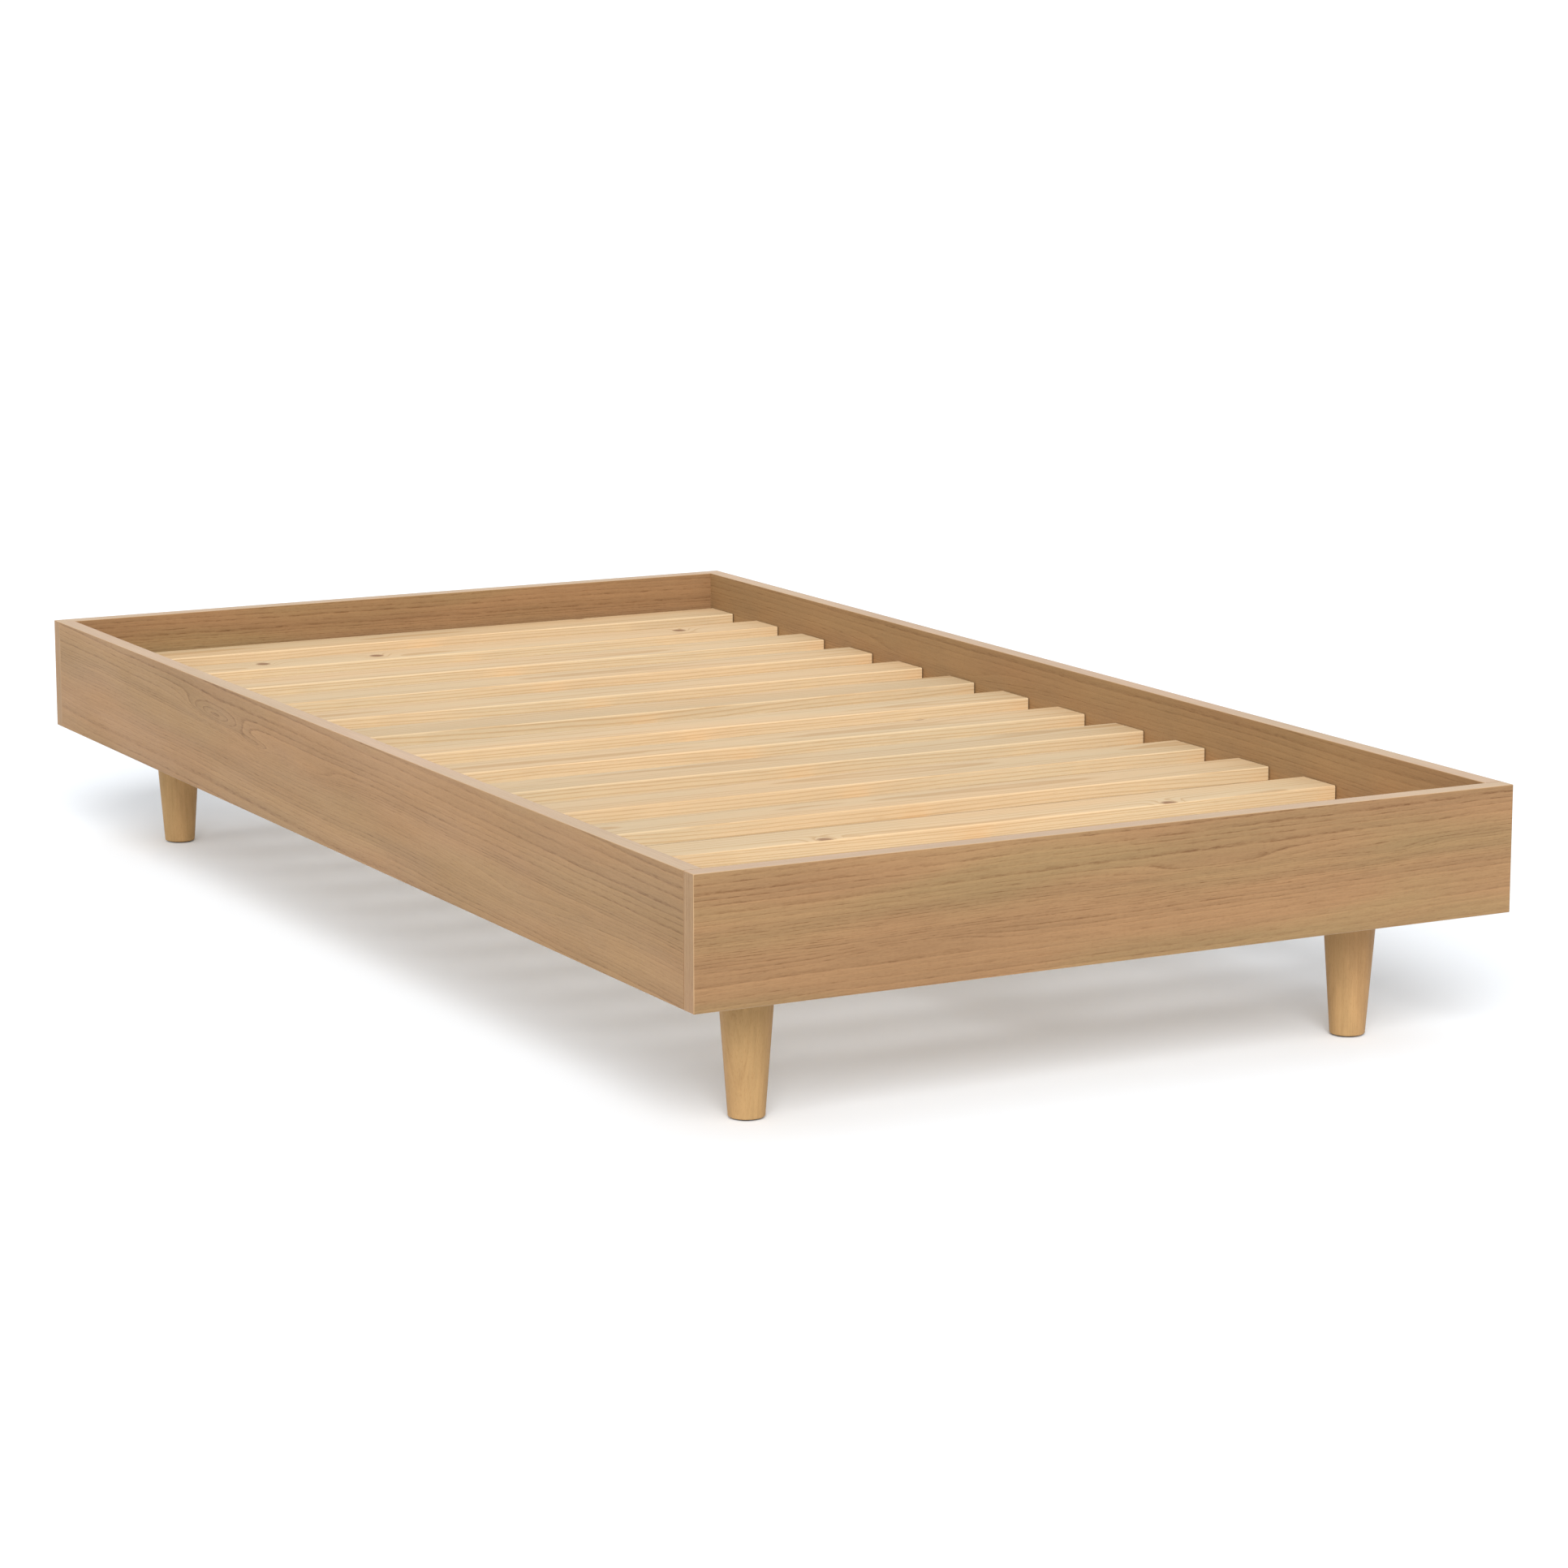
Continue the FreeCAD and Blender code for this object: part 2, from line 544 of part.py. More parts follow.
def leg_board(name, across, along, turn):
    """Square board under the battens. Its own origin is the corner of the box, X and Y run inward."""
    body = new_body(name)
    outline = new_sketch(body, "Outline", "XY_Plane")
    side = value("Sizes.leg_board_side")
    cut = value("Sizes.leg_board_cut")
    corners = [V(0, 0, 0), V(side, 0, 0), V(side, side - cut, 0), V(side - cut, side, 0), V(0, side, 0)]
    first = closed_lines(outline, corners)
    outline.addConstraint(Sketcher.Constraint("Coincident", first, 1, -1, 1))
    for step, kind in ((0, "Horizontal"), (1, "Vertical"), (3, "Horizontal"), (4, "Vertical")):
        outline.addConstraint(Sketcher.Constraint(kind, first + step))
    whole = Sketcher.Constraint("DistanceX", first, 1, first, 2, side)
    bind(outline, whole, "side_x", "Sizes.leg_board_side")
    outline.addConstraint(Sketcher.Constraint("Equal", first, first + 4))
    flat = Sketcher.Constraint("DistanceX", first + 3, 2, first + 3, 1, side - cut)
    bind(outline, flat, "flat", "Sizes.leg_board_side - Sizes.leg_board_cut")
    outline.addConstraint(Sketcher.Constraint("Equal", first + 1, first + 3))
    pad(body, outline, "Sizes.leg_board_thick")
    round_edges(body, all_edges(body.Shape), "Sizes.wood_round")

    collar = new_sketch(body, "CollarHole", "XY_Plane")
    circles(collar, "Sizes.collar_dia + 2 * Sizes.slack", [(LEG_FROM_CORNER, LEG_FROM_CORNER)])
    pocket(body, collar, "Sizes.leg_board_thick", "CollarBore", flipped=True)

    plate = new_sketch(body, "PlateScrewHoles", "XY_Plane")
    near = f"({LEG_FROM_CORNER} - Sizes.plate_screw_step)"
    far = f"({LEG_FROM_CORNER} + Sizes.plate_screw_step)"
    circles(plate, SCREW_BORE, [(near, near), (far, near), (far, far), (near, far)])
    plate_depth = "Sizes.screw_short - Sizes.plate_thick + Sizes.slack"
    pocket(body, plate, plate_depth, "PlateScrewBores", flipped=True)

    line = "(Sizes.ledger_thick / 2)"
    places = []
    for distance in BOARD_SCREW_PLACES:
        places.append((distance, line))
        places.append((line, distance))
    before = body.Shape.Volume
    countersunk_holes(body, "BoardScrewBores", places, "XY_Plane", flipped=True)
    if not body.Shape.Volume < before:
        raise RuntimeError(f"{name}: the screw holes cut nothing")
    put(body, signed(across, INNER_X), signed(along, INNER_Y), LEG_BOARD_BOTTOM, turn)


# ---------------------------------------------------------------------------- legs


def leg_plate(name, across, along):
    """Steel plate with a threaded collar that stands up into the corner board."""
    body = new_body(name)
    outline = new_sketch(body, "Outline", "XY_Plane")
    half = "-1 * Sizes.plate_side / 2"
    rectangle(outline, half, half, "Sizes.plate_side", "Sizes.plate_side")
    pad(body, outline, "Sizes.plate_thick")
    round_edges(body, edges_along(body.Shape, UP), "Sizes.plate_corner", "Corners")

    collar = new_sketch(body, "CollarOutline", "XY_Plane")
    circles(collar, "Sizes.collar_dia", [("0 mm", "0 mm")])
    pad(body, collar, "Sizes.plate_thick + Sizes.collar_long", "Collar")

    bore = new_sketch(body, "BoltHole", "XY_Plane")
    circles(bore, HANGER_BOLT_BORE, [("0 mm", "0 mm")])
    pocket(body, bore, "Sizes.plate_thick + Sizes.collar_long", "BoltBore", flipped=True)

    screws = new_sketch(body, "ScrewHoles", "XY_Plane")
    near = "-1 * Sizes.plate_screw_step"
    far = "Sizes.plate_screw_step"
    circles(screws, "Sizes.screw_dia + 4 * Sizes.slack", [(near, near), (far, near), (far, far), (near, far)])
    pocket(body, screws, "Sizes.plate_thick", "ScrewBores", flipped=True)
    put(body, signed(across, LEG_X), signed(along, LEG_Y), LEG_TOP)


def leg(name, across, along):
    """Round leg, straight-tapered, thicker at the top. Bored for the bolt above and the glide below."""
    body = new_body(name)
    length = f"({LEG_TOP} - Sizes.glide_thick)"
    foot = "(Sizes.leg_foot_dia + Sizes.leg_flare * Sizes.glide_thick) / 2"
    head = f"(Sizes.leg_foot_dia + Sizes.leg_flare * {LEG_TOP}) / 2"
    axis = "0 mm"
    turned(body, [(axis, "0 mm"), (foot, "0 mm"), (head, length), (axis, length)])
    round_edges(body, closed_rims(body.Shape, 0), "Sizes.leg_foot_round", "FootArris")
    round_edges(body, closed_rims(body.Shape, value(length)), "Sizes.leg_head_round", "HeadArris")

    pin = new_sketch(body, "PinHole", "XY_Plane")
    circles(pin, "Sizes.glide_pin_dia + Sizes.slack", [("0 mm", "0 mm")])
    pocket(body, pin, "Sizes.glide_pin_long + Sizes.slack", "PinBore", flipped=True)

    bolt = new_sketch(body, "BoltHole", "XY_Plane", {"z": length})
    circles(bolt, HANGER_BOLT_BORE, [("0 mm", "0 mm")])
    pocket(body, bolt, "Sizes.hanger_bolt_wood + Sizes.slack", "BoltBore")
    put(body, signed(across, LEG_X), signed(along, LEG_Y), "Sizes.glide_thick")


def leg_glide(name, across, along):
    """Nylon glide: a plate with a pin that is pressed into the leg's end."""
    body = new_body(name)
    plate = "Sizes.glide_dia / 2"
    pin = "Sizes.glide_pin_dia / 2"
    chamfered = f"({plate} - Sizes.glide_round)"
    top = "Sizes.glide_thick"
    tip = "Sizes.glide_thick + Sizes.glide_pin_long"
    points = [
        ("0 mm", "0 mm"),
        (chamfered, "0 mm"),
        (plate, "Sizes.glide_round"),
        (plate, top),
        (pin, top),
        (pin, tip),
        ("0 mm", tip),
    ]
    turned(body, points)
    put(body, signed(across, LEG_X), signed(along, LEG_Y))


# ---------------------------------------------------------------------------- beam and middle leg


def centre_beam(name):
    """Beam along the middle, between the end battens, bored below for the middle leg's sleeve."""
    body = new_body(name)
    length = f"(2 * ({INNER_Y} - Sizes.ledger_thick - Sizes.beam_gap))"
    outline = new_sketch(body, "Outline", "XY_Plane")
    rectangle(outline, "-1 * Sizes.beam_wide / 2", f"-1 * {length} / 2", "Sizes.beam_wide", length)
    pad(body, outline, "Sizes.ledger_height")
    round_edges(body, edges_along(body.Shape, V(0, 1, 0)), "Sizes.ledger_round")
    sleeve = new_sketch(body, "SleeveHole", "XY_Plane")
    circles(sleeve, "Sizes.sleeve_dia + Sizes.slack", [("0 mm", "0 mm")])
    pocket(body, sleeve, "Sizes.sleeve_long + Sizes.slack", "SleeveBore", flipped=True)
    put(body, z=LEDGER_BOTTOM)


def beam_hanger(name, along):
    """Bent sheet shoe that holds the beam's end. Its own Y runs from the end batten into the bed."""
    body = new_body(name)
    inner = "(Sizes.beam_wide / 2)"
    gauge = "Sizes.hanger_gauge"
    cheeks = new_sketch(body, "CheekOutline", "XZ_Plane")
    outer = f"({inner} + {gauge})"
    rectangle(cheeks, f"-1 * {outer}", f"-1 * {gauge}", f"2 * {outer}", "Sizes.hanger_tall")
    shoe = pad(body, cheeks, "Sizes.hanger_reach", "Shoe")
    shoe.Reversed = True
    doc.recompute()
    hollow = new_sketch(body, "BeamSeat", "XZ_Plane")
    rectangle(hollow, f"-1 * {inner}", "0 mm", f"2 * {inner}", "Sizes.hanger_tall")
    pocket(body, hollow, "Sizes.hanger_reach", "Seat")

    flange = new_sketch(body, "FlangeOutline", "XZ_Plane")
    flange_wide = f"Sizes.hanger_flange + {gauge} / 2"
    rectangle(flange, f"({inner} + {gauge} / 2)", "0 mm", flange_wide, f"Sizes.hanger_tall - {gauge}")
    right = pad(body, flange, gauge, "Flange")
    right.Reversed = True
    doc.recompute()
    screws = new_sketch(body, "ScrewHoles", "XZ_Plane")
    circles(screws, "Sizes.screw_dia + 4 * Sizes.slack", hanger_screw_places())
    bores = pocket(body, screws, gauge, "ScrewBores")
    mirror(body, [right, bores])
    face = f"({INNER_Y} - Sizes.ledger_thick)"
    put(body, y=signed(along, face), z=LEDGER_BOTTOM, turn=180 if along > 0 else 0)


def centre_leg(name):
    """Square post under the beam, with a sleeve bore below and a bolt bore above."""
    body = new_body(name)
    length = f"({LEDGER_BOTTOM} - Sizes.post_floor_gap)"
    outline = new_sketch(body, "Outline", "XY_Plane")
    half = "-1 * Sizes.post_side / 2"
    rectangle(outline, half, half, "Sizes.post_side", "Sizes.post_side")
    pad(body, outline, length)
    round_edges(body, edges_along(body.Shape, UP), "Sizes.post_round")
    sleeve = new_sketch(body, "SleeveHole", "XY_Plane")
    circles(sleeve, "Sizes.sleeve_dia + Sizes.slack", [("0 mm", "0 mm")])
    pocket(body, sleeve, "Sizes.sleeve_long + Sizes.slack", "SleeveBore", flipped=True)
    room = new_sketch(body, "StemRoomHole", "XY_Plane")
    circles(room, "Sizes.hanger_bolt_dia + 10 * Sizes.slack", [("0 mm", "0 mm")])
    pocket(body, room, "Sizes.sleeve_long + Sizes.stem_room", "StemRoom", flipped=True)
    bolt = new_sketch(body, "BoltHole", "XY_Plane", {"z": length})
    circles(bolt, HANGER_BOLT_BORE, [("0 mm", "0 mm")])
    pocket(body, bolt, "Sizes.hanger_bolt_wood + Sizes.slack", "BoltBore")
    put(body, z="Sizes.post_floor_gap")


def leveller_pad(name):
    """Round foot with a socket in which the stem turns."""
    body = new_body(name)
    radius = "(Sizes.pad_dia / 2)"
    bore = f"({HANGER_BOLT_BORE} / 2)"
    points = [
        ("0 mm", "0 mm"),
        (f"({radius} - Sizes.glide_round)", "0 mm"),
        (radius, "Sizes.glide_round"),
        (radius, "Sizes.pad_floor"),
        (f"({radius} - Sizes.pad_round)", "Sizes.pad_floor + Sizes.pad_round / 2"),
        (f"({bore} + Sizes.pad_round)", "Sizes.pad_tall"),
        (bore, "Sizes.pad_tall"),
        (bore, "Sizes.pad_floor"),
        ("0 mm", "Sizes.pad_floor"),
    ]
    turned(body, points)
    put(body)


def leveller_stem(name):
    """Threaded stem with a hexagon for a spanner."""
    body = new_body(name)
    shank = new_sketch(body, "ShankOutline", "XY_Plane")
    circles(shank, "Sizes.hanger_bolt_dia", [("0 mm", "0 mm")])
    pad(body, shank, "Sizes.stem_long", "Shank")
    nut = new_sketch(body, "HexagonOutline", "XY_Plane", {"z": "Sizes.stem_hex_at"})
    hexagon(nut, "Sizes.stem_hex")
    pad(body, nut, "Sizes.stem_hex_tall", "Hexagon")
    put(body, z="Sizes.pad_floor + Sizes.slack")


# ---------------------------------------------------------------------------- slats and webbing


def staple_legs():
    """Where a staple's two legs go, across the bed."""
    half = "(Sizes.staple_wide / 2 - Sizes.staple_wire / 2)"
    return [f"(Sizes.strap_at - {half})", f"(Sizes.strap_at + {half})"]


def slat(name, number):
    body = new_body(name)
    length = f"(2 * ({INNER_X} - Sizes.slat_gap_side))"
    outline = new_sketch(body, "Outline", "XY_Plane")
    rectangle(outline, f"-1 * {length} / 2", "-1 * Sizes.slat_wide / 2", length, "Sizes.slat_wide")
    pad(body, outline, "Sizes.slat_thick")
    round_edges(body, edges_along(body.Shape, V(1, 0, 0)), "Sizes.slat_round")
    holes = new_sketch(body, "StapleHoles", "XY_Plane")
    circles(holes, "Sizes.staple_wire + Sizes.slack", [(x, "0 mm") for x in staple_legs()])
    deep = "Sizes.staple_deep - Sizes.strap_thick + Sizes.slack"
    cut = pocket(body, holes, deep, "StapleBores", flipped=True)
    mirror(body, [cut])
    put(body, y=slat_place(number), z=LEDGER_TOP)


def slat_place(number):
    return f"({number} * {SLAT_STEP} - ({INNER_Y} - Sizes.slat_gap_end - Sizes.slat_wide / 2))"


def slat_strap(name, across):
    """Flat webbing under the slats, with two staple holes below each slat."""
    body = new_body(name)
    length = f"(2 * ({INNER_Y} - Sizes.ledger_thick - Sizes.strap_gap_end))"
    outline = new_sketch(body, "Outline", "XY_Plane")
    rectangle(outline, "-1 * Sizes.strap_wide / 2", f"-1 * {length} / 2", "Sizes.strap_wide", length)
    pad(body, outline, "Sizes.strap_thick")
    holes = new_sketch(body, "StapleHoles", "XY_Plane", {"y": slat_place(0)})
    half = "(Sizes.staple_wide / 2 - Sizes.staple_wire / 2)"
    circles(holes, "Sizes.staple_wire + Sizes.slack", [(f"-1 * {half}", "0 mm"), (half, "0 mm")])
    cut = pocket(body, holes, "Sizes.strap_thick", "StapleBores", flipped=True)
    row = body.newObject("PartDesign::LinearPattern", "StapleRow")
    row.Originals = [cut]
    row.Direction = (holes, ["V_Axis"])
    row.setExpression("Length", f"{SLAT_STEP} * (Sizes.slat_count - 1)")
    row.setExpression("Occurrences", "Sizes.slat_count")
    body.Tip = row
    doc.recompute()
    put(body, x=signed(across, "Sizes.strap_at"), z=f"{LEDGER_TOP} - Sizes.strap_thick")


# ---------------------------------------------------------------------------- fasteners


def hexagon_drive(body, across_flats, depth, offset, flipped=False):
    recess = new_sketch(body, "DriveOutline", "XY_Plane", offset)
    hexagon(recess, across_flats)
    pocket(body, recess, depth, "Drive", flipped=flipped)


def long_screw():
    """Countersunk wood screw. Its head's flat is at the origin, and it points along -Z."""
    body = new_body("long_screw_pattern", is_node=False)
    head = "Sizes.screw_head_dia / 2"
    shank = "(Sizes.screw_dia / 2)"
    neck = f"-1 * ({head} - {shank})"
    points = [
        ("0 mm", "0 mm"),
        (head, "0 mm"),
        (shank, neck),
        (shank, "-1 * (Sizes.screw_long - Sizes.screw_tip)"),
        ("0 mm", "-1 * Sizes.screw_long"),
    ]
    turned(body, points)
    hexagon_drive(body, "Sizes.screw_drive", "Sizes.short_head_tall", {})
    return body


def short_screw():
    """Pan-head wood screw. Its head's seat is at the origin, and it points along -Z."""
    body = new_body("short_screw_pattern", is_node=False)
    head = "Sizes.screw_head_dia / 2"
    shank = "(Sizes.screw_dia / 2)"
    points = [
        ("0 mm", "Sizes.short_head_tall"),
        (f"({head} - Sizes.short_head_tall / 2)", "Sizes.short_head_tall"),
        (head, "Sizes.short_head_tall / 2"),
        (head, "0 mm"),
        (shank, "0 mm"),
        (shank, "-1 * (Sizes.screw_short - Sizes.screw_tip)"),
        ("0 mm", "-1 * Sizes.screw_short"),
    ]
    turned(body, points)
    hexagon_drive(body, "Sizes.screw_drive", "Sizes.short_head_tall", {"z": "Sizes.short_head_tall"})
    return body


def cap_screw():
    """Cylinder-head screw. Its head's seat is at the origin, and it points along -Z."""
    body = new_body("cap_screw_pattern", is_node=False)
    shank = new_sketch(body, "ShankOutline", "XY_Plane", {"z": "-1 * Sizes.bolt_long"})
    circles(shank, "Sizes.bolt_dia", [("0 mm", "0 mm")])
    pad(body, shank, "Sizes.bolt_long + Sizes.bolt_head_tall", "Shank")
    head = new_sketch(body, "HeadOutline", "XY_Plane")
    circles(head, "Sizes.bolt_head_dia", [("0 mm", "0 mm")])
    pad(body, head, "Sizes.bolt_head_tall", "Head")
    hexagon_drive(body, "Sizes.bolt_drive", "Sizes.bolt_head_tall / 2", {"z": "Sizes.bolt_head_tall"})
    return body


def sleeve(name, outside, inside, length):
    """Threaded sleeve: a tube that stands on its origin and points along +Z."""
    body = new_body(name, is_node=False)
    outer = f"{outside} / 2"
    inner = f"{inside} / 2"
    turned(body, [(inner, "0 mm"), (outer, "0 mm"), (outer, length), (inner, length)])
    return body


def hanger_bolt():
    """Bolt with a wood thread below the origin and a metric thread above it."""
    body = new_body("hanger_bolt_pattern", is_node=False)
    radius = "Sizes.hanger_bolt_dia / 2"
    low = "-1 * Sizes.hanger_bolt_wood"
    tip = "(Sizes.hanger_bolt_dia / 4)"
    points = [
        ("0 mm", low),
        (tip, low),
        (radius, f"{low} + Sizes.screw_tip"),
        (radius, "Sizes.hanger_bolt_metal"),
        ("0 mm", "Sizes.hanger_bolt_metal"),
    ]
    turned(body, points)
    return body


def dowel():
    """Grooveless wooden dowel with chamfered ends, along +Z from its origin."""
    body = new_body("dowel_pattern", is_node=False)
    radius = "Sizes.dowel_dia / 2"
    lead = "Sizes.dowel_lead"
    length = "Sizes.dowel_long"
    points = [
        ("0 mm", "0 mm"),
        (f"({radius} - {lead})", "0 mm"),
        (radius, lead),
        (radius, f"({length} - {lead})"),
        (f"({radius} - {lead})", length),
        ("0 mm", length),
    ]
    turned(body, points)
    return body


def staple():
    """Wire staple: a flat crown over two legs that point along -Z."""
    crown = doc.addObject("Part::Box", "staple_crown")
    crown.setExpression("Length", "Sizes.staple_wide")
    crown.setExpression("Width", "Sizes.staple_wire")
    crown.setExpression("Height", "Sizes.staple_wire / 2")
    crown.setExpression(".Placement.Base.x", "-1 * Sizes.staple_wide / 2")
    crown.setExpression(".Placement.Base.y", "-1 * Sizes.staple_wire / 2")
    prongs = []
    for side in (-1, 1):
        prong = doc.addObject("Part::Cylinder", "staple_leg")
        prong.setExpression("Radius", "Sizes.staple_wire / 2")
        prong.setExpression("Height", "Sizes.staple_deep + Sizes.staple_wire / 4")
        prong.setExpression(".Placement.Base.x", f"{side} * (Sizes.staple_wide - Sizes.staple_wire) / 2")
        prong.setExpression(".Placement.Base.z", "-1 * Sizes.staple_deep")
        prongs.append(prong)
    whole = doc.addObject("Part::MultiFuse", "staple_pattern")
    whole.Shapes = [crown, *prongs]
    doc.recompute()
    return whole


X_AXIS = V(1, 0, 0)
Y_AXIS = V(0, 1, 0)
SIDES = (-1, 1)
ENDS = (-1, 1)


def along_x(side):
    """Turn that points a -Z screw along side * X."""
    return Y_AXIS, -90 * side


def along_y(side):
    """Turn that points a -Z screw along side * Y."""
    return X_AXIS, 90 * side


def long_screw_places():
    places = []
    ledger_mid = f"({LEDGER_BOTTOM} + Sizes.ledger_height / 2)"
    side_face = f"({INNER_X} - Sizes.ledger_thick)"
    end_face = f"({INNER_Y} - Sizes.ledger_thick)"
    for side in SIDES:
        for share in SIDE_SCREW_SHARES:
            for half in ENDS:
                y = f"{half * share} * {SIDE_LEDGER_LONG} / 2"
                places.append((signed(side, side_face), y, ledger_mid, *along_x(side)))
    for end in ENDS:
        for share in END_SCREW_SHARES:
            for half in SIDES:
                x = f"{half * share} * {END_LEDGER_LONG} / 2"
                places.append((x, signed(end, end_face), ledger_mid, *along_y(end)))
    block_x = f"({INNER_X} - {BLOCK_HALF})"
    block_face = f"({INNER_Y} - Sizes.block_side + Sizes.block_screw_sink)"
    line = "Sizes.ledger_thick / 2"
    for _, across, along, _ in CORNERS:
        for share in BLOCK_SCREW_SHARES:
            z = f"({LEDGER_BOTTOM} + {share} * Sizes.ledger_height)"
            places.append((signed(across, block_x), signed(along, block_face), z, *along_y(along)))
        for distance in BOARD_SCREW_PLACES:
            beside_rail = (signed(across, f"({INNER_X} - {line})"), signed(along, f"({INNER_Y} - {distance})"))
            beside_panel = (signed(across, f"({INNER_X} - {distance})"), signed(along, f"({INNER_Y} - {line})"))
            for x, y in (beside_rail, beside_panel):
                places.append((x, y, LEG_BOARD_BOTTOM, X_AXIS, 180))
    return places


def short_screw_places():
    places = []
    for _, across, along, _ in CORNERS:
        for step_x in SIDES:
            for step_y in ENDS:
                x = f"({signed(across, LEG_X)} + {step_x} * Sizes.plate_screw_step)"
                y = f"({signed(along, LEG_Y)} + {step_y} * Sizes.plate_screw_step)"
                places.append((x, y, LEG_TOP, X_AXIS, 180))
    face = f"({INNER_Y} - Sizes.ledger_thick - Sizes.hanger_gauge)"
    for end in ENDS:
        for side, height in hanger_screw_places():
            for half in SIDES:
                z = f"({LEDGER_BOTTOM} + {height})"
                places.append((f"{half} * {side}", signed(end, face), z, *along_y(end)))
    return places


def corner_fixings():
    """Places of the cap screws and of the inserts that they turn into."""
    bolts, inserts = [], []
    seat = f"({INNER_X} - Sizes.block_side + Sizes.bolt_head_sink)"
    for _, across, along, _ in CORNERS:
        y = signed(along, f"({INNER_Y} - {BLOCK_HALF})")
        for share in BOLT_SHARES:
            z = f"({LEDGER_BOTTOM} + {share} * Sizes.ledger_height)"
            bolts.append((signed(across, seat), y, z, *along_x(across)))
            inserts.append((signed(across, INNER_X), y, z, Y_AXIS, 90 * across))
    return bolts, inserts


def dowel_places():
    places = []
    x = f"({INNER_X} + Sizes.board_thick / 2)"
    start = f"({INNER_Y} + Sizes.dowel_in_panel)"
    for _, across, along, _ in CORNERS:
        for height in dowel_heights():
            z = f"({RAIL_BOTTOM} + {height})"
            places.append((signed(across, x), signed(along, start), z, X_AXIS, 90 * along))
    return places


def staple_places():
    under = f"({LEDGER_TOP} - Sizes.strap_thick)"
    return [
        (signed(side, "Sizes.strap_at"), slat_place(number), under, X_AXIS, 180)
        for side in SIDES
        for number in range(int(value("Sizes.slat_count")))
    ]


def build():
    end_panel("foot_panel", -1)
    end_panel("head_panel", 1)
    side_rail("side_rail_left", -1)
    side_rail("side_rail_right", 1)
    side_ledger("side_ledger_left", -1)
    side_ledger("side_ledger_right", 1)
    end_ledger("end_ledger_foot", -1)
    end_ledger("end_ledger_head", 1)
    for corner, across, along, turn in CORNERS:
        corner_block(f"corner_block_{corner}", across, along)
        leg_board(f"leg_board_{corner}", across, along, turn)
        leg_plate(f"leg_plate_{corner}", across, along)
        leg(f"leg_{corner}", across, along)
        leg_glide(f"leg_glide_{corner}", across, along)
    centre_beam("centre_beam")
    beam_hanger("beam_hanger_foot", -1)
    beam_hanger("beam_hanger_head", 1)
    centre_leg("centre_leg")
    leveller_pad("leveller_pad")
    leveller_stem("leveller_stem")
    for number in range(int(value("Sizes.slat_count"))):
        slat(f"slat_{number + 1:02d}", number)
    slat_strap("strap_left", -1)
    slat_strap("strap_right", 1)

    group("wood_screws", long_screw(), long_screw_places())
    group("plate_screws", short_screw(), short_screw_places())
    bolts, inserts = corner_fixings()
    group("corner_bolts", cap_screw(), bolts)
    small_sleeve = sleeve("insert_pattern", "Sizes.insert_dia", BOLT_BORE, "Sizes.insert_long")
    group("corner_inserts", small_sleeve, inserts)
    group("rail_dowels", dowel(), dowel_places())
    group("strap_staples", staple(), staple_places())

    legs = [(signed(across, LEG_X), signed(along, LEG_Y), LEG_TOP, UP, 0) for _, across, along, _ in CORNERS]
    legs.append(("0 mm", "0 mm", LEDGER_BOTTOM, UP, 0))
    group("leg_bolts", hanger_bolt(), legs)
    large_sleeve = sleeve("sleeve_pattern", "Sizes.sleeve_dia", HANGER_BOLT_BORE, "Sizes.sleeve_long")
    group("threaded_sleeves", large_sleeve, [
        ("0 mm", "0 mm", LEDGER_BOTTOM, UP, 0),
        ("0 mm", "0 mm", "Sizes.post_floor_gap", UP, 0),
    ])


def check_and_export():
    doc.recompute()
    for item in doc.Objects:
        if "Invalid" in item.State or "Error" in item.State:
            raise RuntimeError(f"{item.Label} failed: {item.State}")
    for node in nodes:
        if node.Shape.isNull() or not node.Shape.isValid():
            raise RuntimeError(f"{node.Label} has no valid shape")
    for node in nodes:
        node.Shape.exportStep(f"parts/{node.Label}.step")
    print(len(nodes), "nodes")


build()
check_and_export()
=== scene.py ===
import json
import math

import bpy
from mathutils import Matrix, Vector


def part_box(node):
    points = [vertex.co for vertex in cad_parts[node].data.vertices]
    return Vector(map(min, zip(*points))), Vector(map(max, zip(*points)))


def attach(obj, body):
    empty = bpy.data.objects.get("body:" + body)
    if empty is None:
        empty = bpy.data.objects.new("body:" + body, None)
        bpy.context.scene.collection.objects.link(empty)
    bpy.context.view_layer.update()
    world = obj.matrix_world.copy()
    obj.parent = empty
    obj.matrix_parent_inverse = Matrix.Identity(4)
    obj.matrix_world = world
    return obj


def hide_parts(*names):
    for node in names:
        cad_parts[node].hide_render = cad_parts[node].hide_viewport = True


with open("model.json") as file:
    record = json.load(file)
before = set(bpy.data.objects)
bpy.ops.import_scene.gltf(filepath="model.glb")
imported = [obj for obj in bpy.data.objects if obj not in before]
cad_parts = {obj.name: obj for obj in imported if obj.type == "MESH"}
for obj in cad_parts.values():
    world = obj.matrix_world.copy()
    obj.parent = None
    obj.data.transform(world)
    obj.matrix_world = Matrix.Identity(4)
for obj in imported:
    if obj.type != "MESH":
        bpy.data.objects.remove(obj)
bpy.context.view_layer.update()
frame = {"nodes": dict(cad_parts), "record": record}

nodes = frame["nodes"]


def middle(node):
    low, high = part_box(node)
    return (Vector(low) + Vector(high)) / 2


BOARD_MID = middle("foot_panel")[2]
SLATS = [f"slat_{number:02d}" for number in range(1, 15)]


def srgb(red, green, blue):
    """A colour given in 0 to 255, as linear numbers."""
    linear = []
    for part in (red, green, blue):
        share = part / 255
        linear.append(share / 12.92 if share <= 0.04045 else ((share + 0.055) / 1.055) ** 2.4)
    return (*linear, 1.0)


# ------------------------------------------------------------------ node materials


